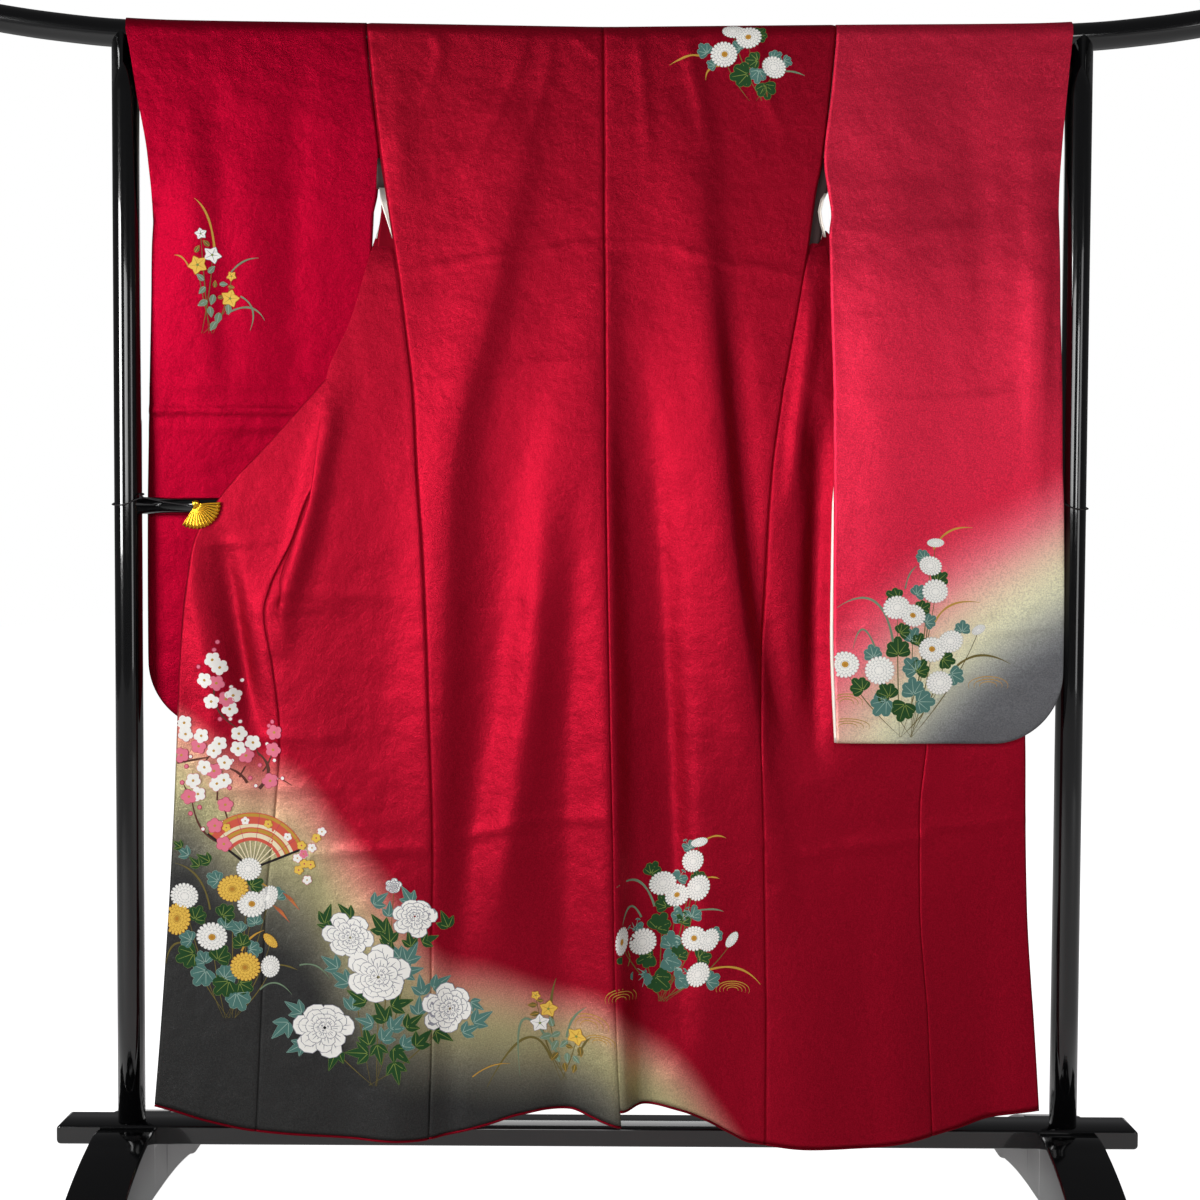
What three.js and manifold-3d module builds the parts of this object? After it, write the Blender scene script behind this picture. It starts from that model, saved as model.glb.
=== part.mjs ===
// Furisode (long-sleeved kimono) hung open on a black lacquered kimono stand, its back to the viewer.
// Millimetres. +X runs to the right seen from the garment's back, +Y away from the viewer, +Z up.
// The origin is on the floor, midway between the stand's posts.
import * as THREE from 'three';
import * as BufferGeometryUtils from 'three/addons/utils/BufferGeometryUtils.js';
import Module from 'manifold-3d';

const wasm = await Module();
wasm.setup();

// ---------------------------------------------------------------- driving dimensions

// `hinge` is where the back and front lie at an angle to each other beside the top of the side seam.
const cloth = { wall: 2, roundRod: 0.6, seamGap: 0.3, centreEase: 0.12, collarWall: 2.6 };
const hinge = { gap: 0.7, below: 25, reach: 60 };

const stand = {
  postSpacing: 1354,
  poleRadius: 19,
  railRadius: 12,
  railHeight: 1016,
  railSocket: 6,
  clearance: 0.3,
};

// Middle line of the top rod: it sags a little under the cloth and its ends sweep up.
const rodLine = [
  { x: 0, z: 1674.5 },
  { x: 340, z: 1679 },
  { x: 600, z: 1682 },
  { x: 690, z: 1686 },
  { x: 780, z: 1695 },
  { x: 855, z: 1706 },
  { x: 905, z: 1716 },
];

const beam = { length: 1555, depth: 51, height: 27.5, top: 125, bevel: 2.5, chamfer: 5 };

// Half of the side view of a foot, from its middle to its toe: height of the upper face and of the arch.
const foot = { width: 84 };
const footProfile = [
  { y: 0, top: 119, arch: 22 },
  { y: 34, top: 119, arch: 21 },
  { y: 70, top: 109, arch: 19 },
  { y: 105, top: 94, arch: 15 },
  { y: 140, top: 74, arch: 9 },
  { y: 170, top: 52, arch: 0 },
  { y: 195, top: 29, arch: 0 },
  { y: 207, top: 9, arch: 0 },
];

// The long seams of the back, from the shoulder line to the hem.
const backSeams = [
  { z: 1700, left: -333, centre: 2, right: 330 },
  { z: 1595, left: -322, centre: 3, right: 321 },
  { z: 1501, left: -311, centre: 4, right: 311 },
  { z: 1462, left: -305, centre: 4, right: 303 },
  { z: 1385, left: -293, centre: 5, right: 293 },
  { z: 1341, left: -286, centre: 6, right: 286 },
  { z: 1245, left: -273, centre: 7, right: 269 },
  { z: 1175, left: -265, centre: 8, right: 257 },
  { z: 1055, left: -258, centre: 9, right: 242 },
  { z: 935, left: -249, centre: 11, right: 235 },
  { z: 705, left: -239, centre: 16, right: 229 },
  { z: 525, left: -234, centre: 21, right: 234 },
  { z: 385, left: -236, centre: 23, right: 237 },
  { z: 260, left: -235, centre: 27, right: 239 },
  { z: 115, left: -239, centre: 36, right: 239 },
];

// How far the cloth hangs in front of the rod's middle line where no fold lifts it.
const hang = [
  { z: 1680, out: 20.6 },
  { z: 1500, out: 22 },
  { z: 1343, out: 24 },
  { z: 1200, out: 27 },
  { z: 1025, out: 30 },
  { z: 785, out: 34 },
  { z: 450, out: 36 },
  { z: 115, out: 36 },
];

// Hem line of each half of the garment, spread out flat to its own side.
const hemLeft = [
  { x: -640, z: 163 },
  { x: -604, z: 153 },
  { x: -558, z: 139 },
  { x: -487, z: 125 },
  { x: -394, z: 119 },
  { x: -325, z: 117 },
  { x: -239, z: 117 },
  { x: -158, z: 136 },
  { x: -111, z: 151 },
  { x: -70, z: 157 },
  { x: -40, z: 157 },
  { x: 4, z: 147 },
  { x: 40, z: 140 },
];
const hemRight = [
  { x: 30, z: 163 },
  { x: 58, z: 163 },
  { x: 86, z: 162 },
  { x: 121, z: 157 },
  { x: 159, z: 143 },
  { x: 190, z: 127 },
  { x: 219, z: 115 },
  { x: 300, z: 111 },
  { x: 381, z: 112 },
  { x: 440, z: 120 },
  { x: 515, z: 135 },
  { x: 561, z: 148 },
  { x: 640, z: 163 },
];
const hemRoll = { height: 4, wall: 3 };

// Soft vertical folds of the back and fronts. Each is a ridge that stands `lift` proud of the cloth
// beside it (a trough where the lift is negative) and fades `left` and `right` of its crest.
const folds = [
  { name: 'shoulder blade', left: 55, right: 28, line: [
    { z: 1600, x: -98, lift: 0 },
    { z: 1500, x: -115, lift: 6 },
    { z: 1310, x: -156, lift: 11 },
    { z: 1055, x: -212, lift: 14 },
    { z: 885, x: -217, lift: 16 },
    { z: 460, x: -232, lift: 18 },
    { z: 115, x: -250, lift: 14 },
  ] },
  { name: 'left of the seam', left: 40, right: 42, line: [
    { z: 1385, x: -6, lift: 0 },
    { z: 1055, x: -50, lift: 11 },
    { z: 885, x: -74, lift: 13 },
    { z: 545, x: -130, lift: 12 },
    { z: 330, x: -140, lift: 0 },
  ] },
  { name: 'centre seam', left: 40, right: 20, line: [
    { z: 1500, x: 4, lift: 0 },
    { z: 1185, x: 8, lift: 6 },
    { z: 1035, x: 10, lift: 14 },
    { z: 735, x: 16, lift: 20 },
    { z: 435, x: 23, lift: 22 },
    { z: 140, x: 36, lift: 22 },
  ] },
  { name: 'right of the seam', left: 58, right: 24, line: [
    { z: 1610, x: 128, lift: 0 },
    { z: 1500, x: 136, lift: 6 },
    { z: 1310, x: 152, lift: 13 },
    { z: 1055, x: 174, lift: 18 },
    { z: 885, x: 192, lift: 20 },
    { z: 715, x: 213, lift: 17 },
    { z: 545, x: 250, lift: 8 },
    { z: 400, x: 262, lift: 0 },
  ] },
  { name: 'right hem', left: 70, right: 110, line: [
    { z: 560, x: 300, lift: 0 },
    { z: 340, x: 300, lift: 12 },
    { z: 115, x: 300, lift: 18 },
  ] },
  { name: 'left hem valley', left: 34, right: 30, line: [
    { z: 420, x: -55, lift: 0 },
    { z: 280, x: -52, lift: -6 },
    { z: 150, x: -47, lift: -12 },
  ] },
  { name: 'right hem valley', left: 22, right: 36, line: [
    { z: 480, x: 68, lift: 0 },
    { z: 300, x: 70, lift: -8 },
    { z: 150, x: 66, lift: -18 },
  ] },
  { name: 'beside the right sleeve', left: 20, right: 30, line: [
    { z: 1180, x: 306, lift: 0 },
    { z: 1030, x: 305, lift: -6 },
    { z: 800, x: 300, lift: -7 },
    { z: 620, x: 296, lift: 0 },
  ] },
  { name: 'right front edge', left: 60, right: 40, line: [
    { z: 860, x: 600, lift: 0 },
    { z: 690, x: 602, lift: 12 },
    { z: 520, x: 606, lift: 7 },
    { z: 330, x: 615, lift: 0 },
  ] },
  { name: 'below the clip', left: 22, right: 24, line: [
    { z: 965, x: -545, lift: 0 },
    { z: 880, x: -528, lift: -7 },
    { z: 780, x: -505, lift: -9 },
    { z: 686, x: -480, lift: -7 },
    { z: 560, x: -462, lift: 0 },
  ] },
];

// Cross-sections of the two fronts from the side seam to the free edge. Each front falls behind the rod,
// comes forward below it and is drawn outward, so it doubles back on itself at `fold` and again at `tuck`.
// The okumi (overlap panel) is joined at `seam`. The `Y` columns are distances behind the rod.
const frontLeft = [
  { z: 1680, fold: -262, foldY: 20.5, tuck: -150, tuckY: 20.5, seam: -76, seamY: 20.5, edge: -72, edgeY: 20.5 },
  { z: 1620, fold: -264, foldY: 21, tuck: -160, tuckY: 21, seam: -94, seamY: 21, edge: -90, edgeY: 21 },
  { z: 1560, fold: -278, foldY: 21, tuck: -160, tuckY: 21, seam: -102, seamY: 21, edge: -98, edgeY: 21 },
  { z: 1501, fold: -298, foldY: 17, tuck: -152, tuckY: 19, seam: -138, seamY: 20, edge: -135, edgeY: 20 },
  { z: 1458, fold: -309, foldY: 0, tuck: -128, tuckY: 12, seam: -170, seamY: 17, edge: -180, edgeY: 18 },
  { z: 1425, fold: -312, foldY: -9, tuck: -142, tuckY: 4, seam: -185, seamY: 12, edge: -208, edgeY: 14 },
  { z: 1385, fold: -322, foldY: -18, tuck: -156, tuckY: -2, seam: -204, seamY: 5, edge: -235, edgeY: 8 },
  { z: 1343, fold: -333, foldY: -25, tuck: -175, tuckY: -9, seam: -222, seamY: -7, edge: -268, edgeY: -3 },
  { z: 1275, fold: -353, foldY: -28, tuck: -219, tuckY: -14.5, seam: -258, seamY: -12, edge: -323, edgeY: -9 },
  { z: 1200, fold: -385, foldY: -31, tuck: -277, tuckY: -21, seam: -298, seamY: -18, edge: -387, edgeY: -13 },
  { z: 1115, fold: -396, foldY: -34, tuck: -319, tuckY: -24, seam: -352, seamY: -19, edge: -462, edgeY: -15 },
  { z: 1025, fold: -407, foldY: -36, tuck: -363, tuckY: -25, seam: -415, seamY: -20, edge: -543, edgeY: -16.5 },
  { z: 965, fold: -430, foldY: -36, tuck: -402, tuckY: -27, seam: -437, seamY: -22, edge: -577, edgeY: -18 },
  { z: 905, fold: -450, foldY: -35, tuck: -440, tuckY: -29, seam: -466, seamY: -25, edge: -587, edgeY: -20 },
  { z: 865, fold: -446, foldY: -34, tuck: -458, tuckY: -31, seam: -476, seamY: -28, edge: -592, edgeY: -22 },
  { z: 785, fold: -420, foldY: -34, tuck: -442, tuckY: -33, seam: -463, seamY: -31, edge: -597, edgeY: -26 },
  { z: 690, fold: -405, foldY: -34, tuck: -430, tuckY: -33, seam: -454, seamY: -32, edge: -600, edgeY: -28 },
  { z: 585, fold: -405, foldY: -35, tuck: -435, tuckY: -34, seam: -460, seamY: -33, edge: -604, edgeY: -30 },
  { z: 450, fold: -410, foldY: -36, tuck: -445, tuckY: -35, seam: -473, seamY: -34, edge: -611, edgeY: -32 },
  { z: 260, fold: -420, foldY: -37, tuck: -455, tuckY: -36, seam: -481, seamY: -35, edge: -624, edgeY: -34 },
  { z: 115, fold: -425, foldY: -37, tuck: -460, tuckY: -36, seam: -488, seamY: -35, edge: -636, edgeY: -35 },
];
const frontRight = [
  { z: 1680, fold: 262, foldY: 20.5, tuck: 150, tuckY: 20.5, seam: 76, seamY: 20.5, edge: 72, edgeY: 20.5 },
  { z: 1620, fold: 264, foldY: 21, tuck: 160, tuckY: 21, seam: 94, seamY: 21, edge: 90, edgeY: 21 },
  { z: 1560, fold: 278, foldY: 21, tuck: 160, tuckY: 21, seam: 102, seamY: 21, edge: 98, edgeY: 21 },
  { z: 1501, fold: 298, foldY: 17, tuck: 152, tuckY: 19, seam: 138, seamY: 20, edge: 135, edgeY: 20 },
  { z: 1458, fold: 308, foldY: 0, tuck: 128, tuckY: 12, seam: 170, seamY: 17, edge: 180, edgeY: 18 },
  { z: 1425, fold: 309, foldY: -9, tuck: 142, tuckY: 4, seam: 185, seamY: 12, edge: 208, edgeY: 14 },
  { z: 1385, fold: 317, foldY: -17, tuck: 156, tuckY: -2, seam: 204, seamY: 5, edge: 235, edgeY: 8 },
  { z: 1343, fold: 326, foldY: -23, tuck: 175, tuckY: -13, seam: 222, seamY: -7, edge: 268, edgeY: -3 },
  { z: 1275, fold: 345, foldY: -27, tuck: 219, tuckY: -17, seam: 258, seamY: -12, edge: 323, edgeY: -9 },
  { z: 1200, fold: 375, foldY: -29, tuck: 285, tuckY: -20, seam: 302, seamY: -18, edge: 387, edgeY: -13 },
  { z: 1115, fold: 385, foldY: -30, tuck: 330, tuckY: -22, seam: 352, seamY: -19, edge: 462, edgeY: -15 },
  { z: 1025, fold: 396, foldY: -30, tuck: 366, tuckY: -23, seam: 415, seamY: -20, edge: 543, edgeY: -16.5 },
  { z: 965, fold: 415, foldY: -30, tuck: 398, tuckY: -25, seam: 437, seamY: -22, edge: 573, edgeY: -18 },
  { z: 905, fold: 425, foldY: -31, tuck: 425, tuckY: -28, seam: 455, seamY: -25, edge: 585, edgeY: -20 },
  { z: 865, fold: 420, foldY: -32, tuck: 440, tuckY: -30, seam: 463, seamY: -28, edge: 592, edgeY: -22 },
  { z: 785, fold: 415, foldY: -33, tuck: 442, tuckY: -32, seam: 466, seamY: -31, edge: 598, edgeY: -26 },
  { z: 690, fold: 410, foldY: -34, tuck: 440, tuckY: -33, seam: 465, seamY: -32, edge: 602, edgeY: -28 },
  { z: 585, fold: 405, foldY: -35, tuck: 430, tuckY: -34, seam: 456, seamY: -33, edge: 604, edgeY: -30 },
  { z: 450, fold: 405, foldY: -36, tuck: 432, tuckY: -35, seam: 457, seamY: -34, edge: 609, edgeY: -32 },
  { z: 286, fold: 415, foldY: -36, tuck: 445, tuckY: -35, seam: 470, seamY: -34, edge: 622, edgeY: -34 },
  { z: 115, fold: 425, foldY: -36, tuck: 455, tuckY: -35, seam: 478, seamY: -35, edge: 634, edgeY: -35 },
];
const sideSeamTop = 1343;
const okumiTop = 1440;
const armholeInset = 0.8;
const nominalHem = 135;

// The tables' topmost rows stand for the rod's crest, and the cloth hangs free of the rod from `rodTop` down.
const crestRow = 1700;
const rodTop = 1680;
// Where the fronts leave the back of the rod, and where the folds of the back run on into them.
const frontLeaves = 1510;
const foldsFade = 60;

// Edge of the fronts where they meet the collar, on the quarter turn behind the top of the rod.
const neckEdge = [
  { h: 0, x: 46 },
  { h: 14, x: 60 },
  { h: 32, x: 72 },
];

// The collar band: its seam line runs from the left front over the nape to the right front.
const collar = {
  napeWidth: 50,
  endWidth: 56,
  endHeight: 1076,
  behind: 4.4,
  clear: 1.4,
  overlap: 1.4,
  crest: 0.4,
  napeInset: 8,
  napeDrop: 5,
  tuckUnder: 1455,
  leave: 1501,
};

// Below the cuff's opening the halves are drawn together along the outer edge and the bottom: `cornerShare`
// of the width is taken by the rounded corner, and the powers say how close to a seam the drawing in starts.
const cuff = { open: 1510, sewn: 1420 };
const sleeveSeams = { cornerShare: 0.31, outerPower: 8, bottomPower: 14, slack: 0.1 };

// The sleeves. `near` hangs toward the viewer, `far` away from them, both measured from the rod's middle line.
const sleeveLeft = {
  bottom: 692,
  cornerRadius: 100,
  edges: [
    { z: 1700, inner: -333, farInner: -333, outer: -674, near: -20.6, far: 20.6 },
    { z: 1671, inner: -330.5, farInner: -332, outer: -667, near: -20.8, far: 20.6 },
    { z: 1595, inner: -322.5, farInner: -324, outer: -655, near: -21, far: 21 },
    { z: 1503, inner: -312.5, farInner: -314, outer: -641, near: -19, far: 21 },
    { z: 1458, inner: -316, farInner: -326, outer: -639, near: -13, far: 21 },
    { z: 1425, inner: -323, farInner: -328, outer: -640, near: -9, far: 22 },
    { z: 1385, inner: -325, farInner: -330, outer: -643, near: -4, far: 22 },
    { z: 1309, inner: -328, farInner: -332, outer: -646, near: 3, far: 23 },
    { z: 1200, inner: -332, farInner: -334, outer: -650, near: 9, far: 24 },
    { z: 1068, inner: -334, farInner: -336, outer: -654, near: 13.6, far: 26 },
    { z: 1016, inner: -334, farInner: -336, outer: -655, near: 14, far: 26 },
    { z: 858, inner: -334, farInner: -336, outer: -656, near: 15, far: 27 },
    { z: 680, inner: -334, farInner: -336, outer: -656, near: 15, far: 27 },
  ],
};
const sleeveRight = {
  bottom: 686,
  cornerRadius: 100,
  edges: [
    { z: 1700, inner: 330, farInner: 330, outer: 663, near: -20.6, far: 20.6 },
    { z: 1671, inner: 328, farInner: 330, outer: 660, near: -20.8, far: 20.6 },
    { z: 1595, inner: 321.5, farInner: 323, outer: 653, near: -22, far: 20 },
    { z: 1503, inner: 312, farInner: 316, outer: 645, near: -25, far: 6 },
    { z: 1458, inner: 317, farInner: 336, outer: 642, near: -30, far: -12 },
    { z: 1425, inner: 321, farInner: 340, outer: 641, near: -34, far: -22 },
    { z: 1399, inner: 318, farInner: 340, outer: 641, near: -38, far: -27 },
    { z: 1309, inner: 319, farInner: 326, outer: 641, near: -46, far: -35 },
    { z: 1188, inner: 323, farInner: 320, outer: 644, near: -50, far: -39 },
    { z: 1016, inner: 325, farInner: 321, outer: 648, near: -53, far: -42 },
    { z: 846, inner: 326, farInner: 321, outer: 650, near: -55, far: -44 },
    { z: 680, inner: 333, farInner: 328, outer: 650, near: -56, far: -45 },
  ],
};
// Folds of the sleeves' near halves, laid out as the folds of the back are.
const sleeveFolds = [
  { name: 'right sleeve', left: 75, right: 65, line: [
    { z: 1640, x: 440, lift: 0 },
    { z: 1500, x: 430, lift: 7 },
    { z: 1250, x: 405, lift: 9 },
    { z: 960, x: 400, lift: 8 },
    { z: 740, x: 400, lift: 4 },
  ] },
  { name: 'right sleeve edge', left: 26, right: 18, line: [
    { z: 1560, x: 628, lift: 0 },
    { z: 1440, x: 622, lift: 4 },
    { z: 1250, x: 614, lift: 4 },
    { z: 1080, x: 618, lift: 0 },
  ] },
  { name: 'left sleeve', left: 50, right: 90, line: [
    { z: 1560, x: -560, lift: 0 },
    { z: 1400, x: -560, lift: 5 },
    { z: 1160, x: -540, lift: 4 },
    { z: 1060, x: -540, lift: 0 },
  ] },
];

// A fan-shaped clip holds each front's edge, tied by a thin elastic cord to the post beside it.
const fan = {
  pivot: { x: 574, z: 1018 },
  radius: 36,
  fromAngle: 4,
  toAngle: -122,
  pleats: 14,
  pleatDepth: 1.6,
  scallop: 1.2,
  front: -20.8,
  plate: 1.4,
  hub: 5,
  leafStart: 3,
  jawFront: -14.7,
  jawWall: 1.2,
  jawLength: 30,
  jawWidth: 9,
  jawAngle: -40,
};
const cord = { radius: 1, knotRadius: 2.6 };
const cordRoute = [
  { x: 580.5, y: -18.5, z: 1016 },
  { x: 597, y: -17.8, z: 1017.5 },
  { x: 616, y: -17, z: 1020 },
  { x: 636, y: -16.4, z: 1024 },
  { x: 650, y: -16.6, z: 1026.5 },
  { x: 661, y: -18.4, z: 1023 },
  { x: 669.5, y: -20, z: 1018.5 },
  { x: 679, y: -21, z: 1016 },
  { x: 690, y: -17.2, z: 1016 },
  { x: 696.4, y: -9.4, z: 1017 },
  { x: 698, y: 1, z: 1019 },
  { x: 694.4, y: 12, z: 1022.5 },
  { x: 686, y: 19.2, z: 1026 },
  { x: 675, y: 21, z: 1029 },
  { x: 664.6, y: 17, z: 1031.2 },
  { x: 657.8, y: 8.6, z: 1032.6 },
  { x: 656, y: -2, z: 1033 },
  { x: 657.6, y: -10, z: 1031.6 },
  { x: 654.5, y: -15, z: 1029 },
];
const knot = { x: 652.5, y: -16.8, z: 1027 };

// ---------------------------------------------------------------- small tools

const rad = THREE.MathUtils.degToRad;
const lerp = THREE.MathUtils.lerp;
const clamp = THREE.MathUtils.clamp;
const smooth = (from, to, x) => {
  const t = clamp((x - from) / (to - from), 0, 1);
  return t * t * (3 - 2 * t);
};

// Reads a table's column at any place, on a smooth curve through the rows that never overshoots them.
function read(table, key, place, column) {
  const rows = table[0][key] > table[table.length - 1][key] ? [...table].reverse() : table;
  if (place <= rows[0][key]) return rows[0][column];
  if (place >= rows[rows.length - 1][key]) return rows[rows.length - 1][column];
  const i = rows.findIndex((row) => row[key] > place) - 1;
  const slope = (a, b) => (b[column] - a[column]) / (b[key] - a[key]);
  const here = slope(rows[i], rows[i + 1]);
  const tangent = (a, b) => (a * b > 0 ? (2 * a * b) / (a + b) : 0);
  const start = i > 0 ? tangent(slope(rows[i - 1], rows[i]), here) : here;
  const end = i + 2 < rows.length ? tangent(here, slope(rows[i + 1], rows[i + 2])) : here;
  const span = rows[i + 1][key] - rows[i][key];
  const t = (place - rows[i][key]) / span;
  return (
    rows[i][column] * (1 + 2 * t) * (1 - t) ** 2 +
    start * span * t * (1 - t) ** 2 +
    rows[i + 1][column] * t * t * (3 - 2 * t) +
    end * span * t * t * (t - 1)
  );
}

const rodHeight = (x) => read(rodLine, 'x', Math.abs(x), 'z');
const clothRadius = stand.poleRadius + cloth.roundRod + cloth.wall / 2;
const quarterTurn = (Math.PI / 2) * clothRadius;

// Total lift of a set of folds at a place on the cloth.
function lift(table, x, z) {
  let total = 0;
  for (const fold of table) {
    const top = fold.line[0].z;
    const low = fold.line[fold.line.length - 1].z;
    if (z > top) continue;
    const crest = read(fold.line, 'z', z, 'x');
    const height = z < low ? fold.line[fold.line.length - 1].lift : read(fold.line, 'z', z, 'lift');
    const reach = x < crest ? fold.left : fold.right;
    total += height * Math.exp(-(((x - crest) / reach) ** 2));
  }
  return total;
}

// Builds one closed solid from a wall's two faces, given as grids of points, and closes its four edges.
function solidBetween(front, back) {
  const rows = front.length;
  const columns = front[0].length;
  const points = [...front.flat(), ...back.flat()];
  const at = (side, row, column) => side * rows * columns + row * columns + column;
  const faces = [];
  const quad = (a, b, c, d) => faces.push(a, b, c, a, c, d);
  for (let r = 0; r + 1 < rows; r += 1) {
    for (let c = 0; c + 1 < columns; c += 1) {
      quad(at(0, r, c), at(0, r + 1, c), at(0, r + 1, c + 1), at(0, r, c + 1));
      quad(at(1, r, c), at(1, r, c + 1), at(1, r + 1, c + 1), at(1, r + 1, c));
    }
  }
  for (let r = 0; r + 1 < rows; r += 1) {
    quad(at(1, r, 0), at(1, r + 1, 0), at(0, r + 1, 0), at(0, r, 0));
    quad(at(0, r, columns - 1), at(0, r + 1, columns - 1), at(1, r + 1, columns - 1), at(1, r, columns - 1));
  }
  for (let c = 0; c + 1 < columns; c += 1) {
    quad(at(0, 0, c), at(0, 0, c + 1), at(1, 0, c + 1), at(1, 0, c));
    quad(at(0, rows - 1, c + 1), at(0, rows - 1, c), at(1, rows - 1, c), at(1, rows - 1, c + 1));
  }
  return closedGeometry(points, faces);
}

// A geometry whose faces point outward, whichever way the grid was walked.
function closedGeometry(points, faces) {
  let volume = 0;
  for (let i = 0; i < faces.length; i += 3) {
    const [a, b, c] = [points[faces[i]], points[faces[i + 1]], points[faces[i + 2]]];
    volume += a.dot(new THREE.Vector3().crossVectors(b, c));
  }
  const index = volume < 0 ? faces.slice().reverse() : faces;
  const geometry = new THREE.BufferGeometry();
  geometry.setAttribute('position', new THREE.Float32BufferAttribute(points.flatMap((p) => p.toArray()), 3));
  geometry.setIndex(index);
  geometry.computeVertexNormals();
  return geometry;
}

// Unit normals of a grid of points. `across(row, column)` may give the direction across a seam there.
function gridNormals(grid, across = () => null) {
  const last = grid.length - 1;
  return grid.map((row, r) => row.map((_, c) => {
    const ahead = row[Math.min(c + 1, row.length - 1)].clone().sub(row[Math.max(c - 1, 0)]);
    const over = (across(r, c) ?? ahead).clone().normalize();
    const down = grid[Math.min(r + 1, last)][c].clone().sub(grid[Math.max(r - 1, 0)][c]).normalize();
    return over.cross(down).normalize();
  }));
}

// A cloth wall: half its thickness goes to each side of its middle, a grid of points.
function wallGeometry(grid, normals, thickness) {
  const moved = (offset) => grid.map((row, r) => row.map((point, c) => (
    point.clone().addScaledVector(normals[r][c], offset)
  )));
  return solidBetween(moved(thickness / 2), moved(-thickness / 2));
}

const group = new THREE.Group();
function add(name, geometry, material) {
  const mesh = new THREE.Mesh(geometry, material.clone());
  mesh.name = name;
  group.add(mesh);
  return mesh;
}

const silk = new THREE.MeshStandardMaterial({ color: 0xa8122c, roughness: 0.55, metalness: 0 });
const dyedSilk = new THREE.MeshStandardMaterial({ color: 0x8f1830, roughness: 0.55, metalness: 0 });
const piping = new THREE.MeshStandardMaterial({ color: 0x7c0f20, roughness: 0.6, metalness: 0 });
const lacquer = new THREE.MeshStandardMaterial({ color: 0x0a0a0b, roughness: 0.12, metalness: 0 });
const gilt = new THREE.MeshStandardMaterial({ color: 0xd9a321, roughness: 0.25, metalness: 1 });
const elastic = new THREE.MeshStandardMaterial({ color: 0x191416, roughness: 0.8, metalness: 0 });

// ---------------------------------------------------------------- the cloth over the rod

// A point on the cloth's middle where it turns over the rod: angle 0 faces the viewer, 180 faces away.
function overRod(x, angle) {
  const z = rodHeight(x) + clothRadius * Math.sin(angle);
  return new THREE.Vector3(x, -clothRadius * Math.cos(angle), z);
}

// Straight out from the rod's middle line at such a place.
function awayFromRod(angle) {
  return new THREE.Vector3(0, -Math.cos(angle), Math.sin(angle));
}

// Each length of cloth is laid over the rod as two walls that part on its crest by the seam gap.
const crestAngle = Math.PI / 2 - cloth.seamGap / 2 / clothRadius;
const turnRows = 5;
const crestHeight = (r) => lerp(crestRow, rodTop, r / turnRows);

const hangAt = (z) => read(hang, 'z', z, 'out');
const backDepth = (x, z) => -(hangAt(z) + lift(folds, x, z));

// ---------------------------------------------------------------- the two halves of the body

// Heights of the rows below the rod, closer together where the fronts come forward and fold.
const rowPlan = [
  { to: 1565, rows: 2 },
  { to: 1250, rows: 9 },
  { to: nominalHem, rows: 15 },
];
const rowHeights = rowPlan.reduce((heights, { to, rows }) => {
  const from = heights[heights.length - 1];
  for (let i = 1; i <= rows; i += 1) heights.push(lerp(from, to, i / rows));
  return heights;
}, [rodTop]);

const backColumns = 12;
const frontStretches = [6, 2, 2];
const okumiColumns = 5;
const frontColumns = frontStretches.reduce((sum, count) => sum + count, 0);

// Shares of a front's cross-section at which its columns stand.
const frontShares = frontStretches.flatMap((count, i) => (
  Array.from({ length: count }, (_, k) => (i + k / count) / 4)
)).concat(0.75);
const okumiShares = Array.from({ length: okumiColumns + 1 }, (_, k) => 0.75 + (0.25 * k) / okumiColumns);

// The middle line of a front's cross-section at a height: the side seam, then the table's named places.
function frontSection(side, z) {
  const table = side === 'left' ? frontLeft : frontRight;
  const leaving = lerp(-hangAt(sideSeamTop), clothRadius, smooth(sideSeamTop, frontLeaves, z));
  const sideY = z < sideSeamTop ? -hangAt(z) : leaving;
  const points = ['fold', 'tuck', 'seam', 'edge'].map((place) => (
    new THREE.Vector3(read(table, 'z', z, place), read(table, 'z', z, `${place}Y`), 0)
  ));
  points.unshift(new THREE.Vector3(read(backSeams, 'z', z, side), sideY, 0));
  return new THREE.CatmullRomCurve3(points, false, 'centripetal');
}

// Moves a grid's first or last column away from its seam, by half the seam gap unless told otherwise.
function parted(grid, isFirst, gapAt = () => cloth.seamGap / 2) {
  return grid.map((row) => {
    const at = isFirst ? 0 : row.length - 1;
    const inside = row[isFirst ? 1 : at - 1].clone().sub(row[at]).normalize();
    return row.map((point, c) => (
      c === at ? point.clone().addScaledVector(inside, gapAt(point.z)) : point
    ));
  });
}

// The back and front stand further apart where they lie at an angle to each other.
const sideGap = (z) => (
  cloth.seamGap / 2 + hinge.gap * Math.exp(-(((z - sideSeamTop + hinge.below) / hinge.reach) ** 2))
);
const centreGap = () => cloth.seamGap / 2 + cloth.centreEase;

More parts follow.
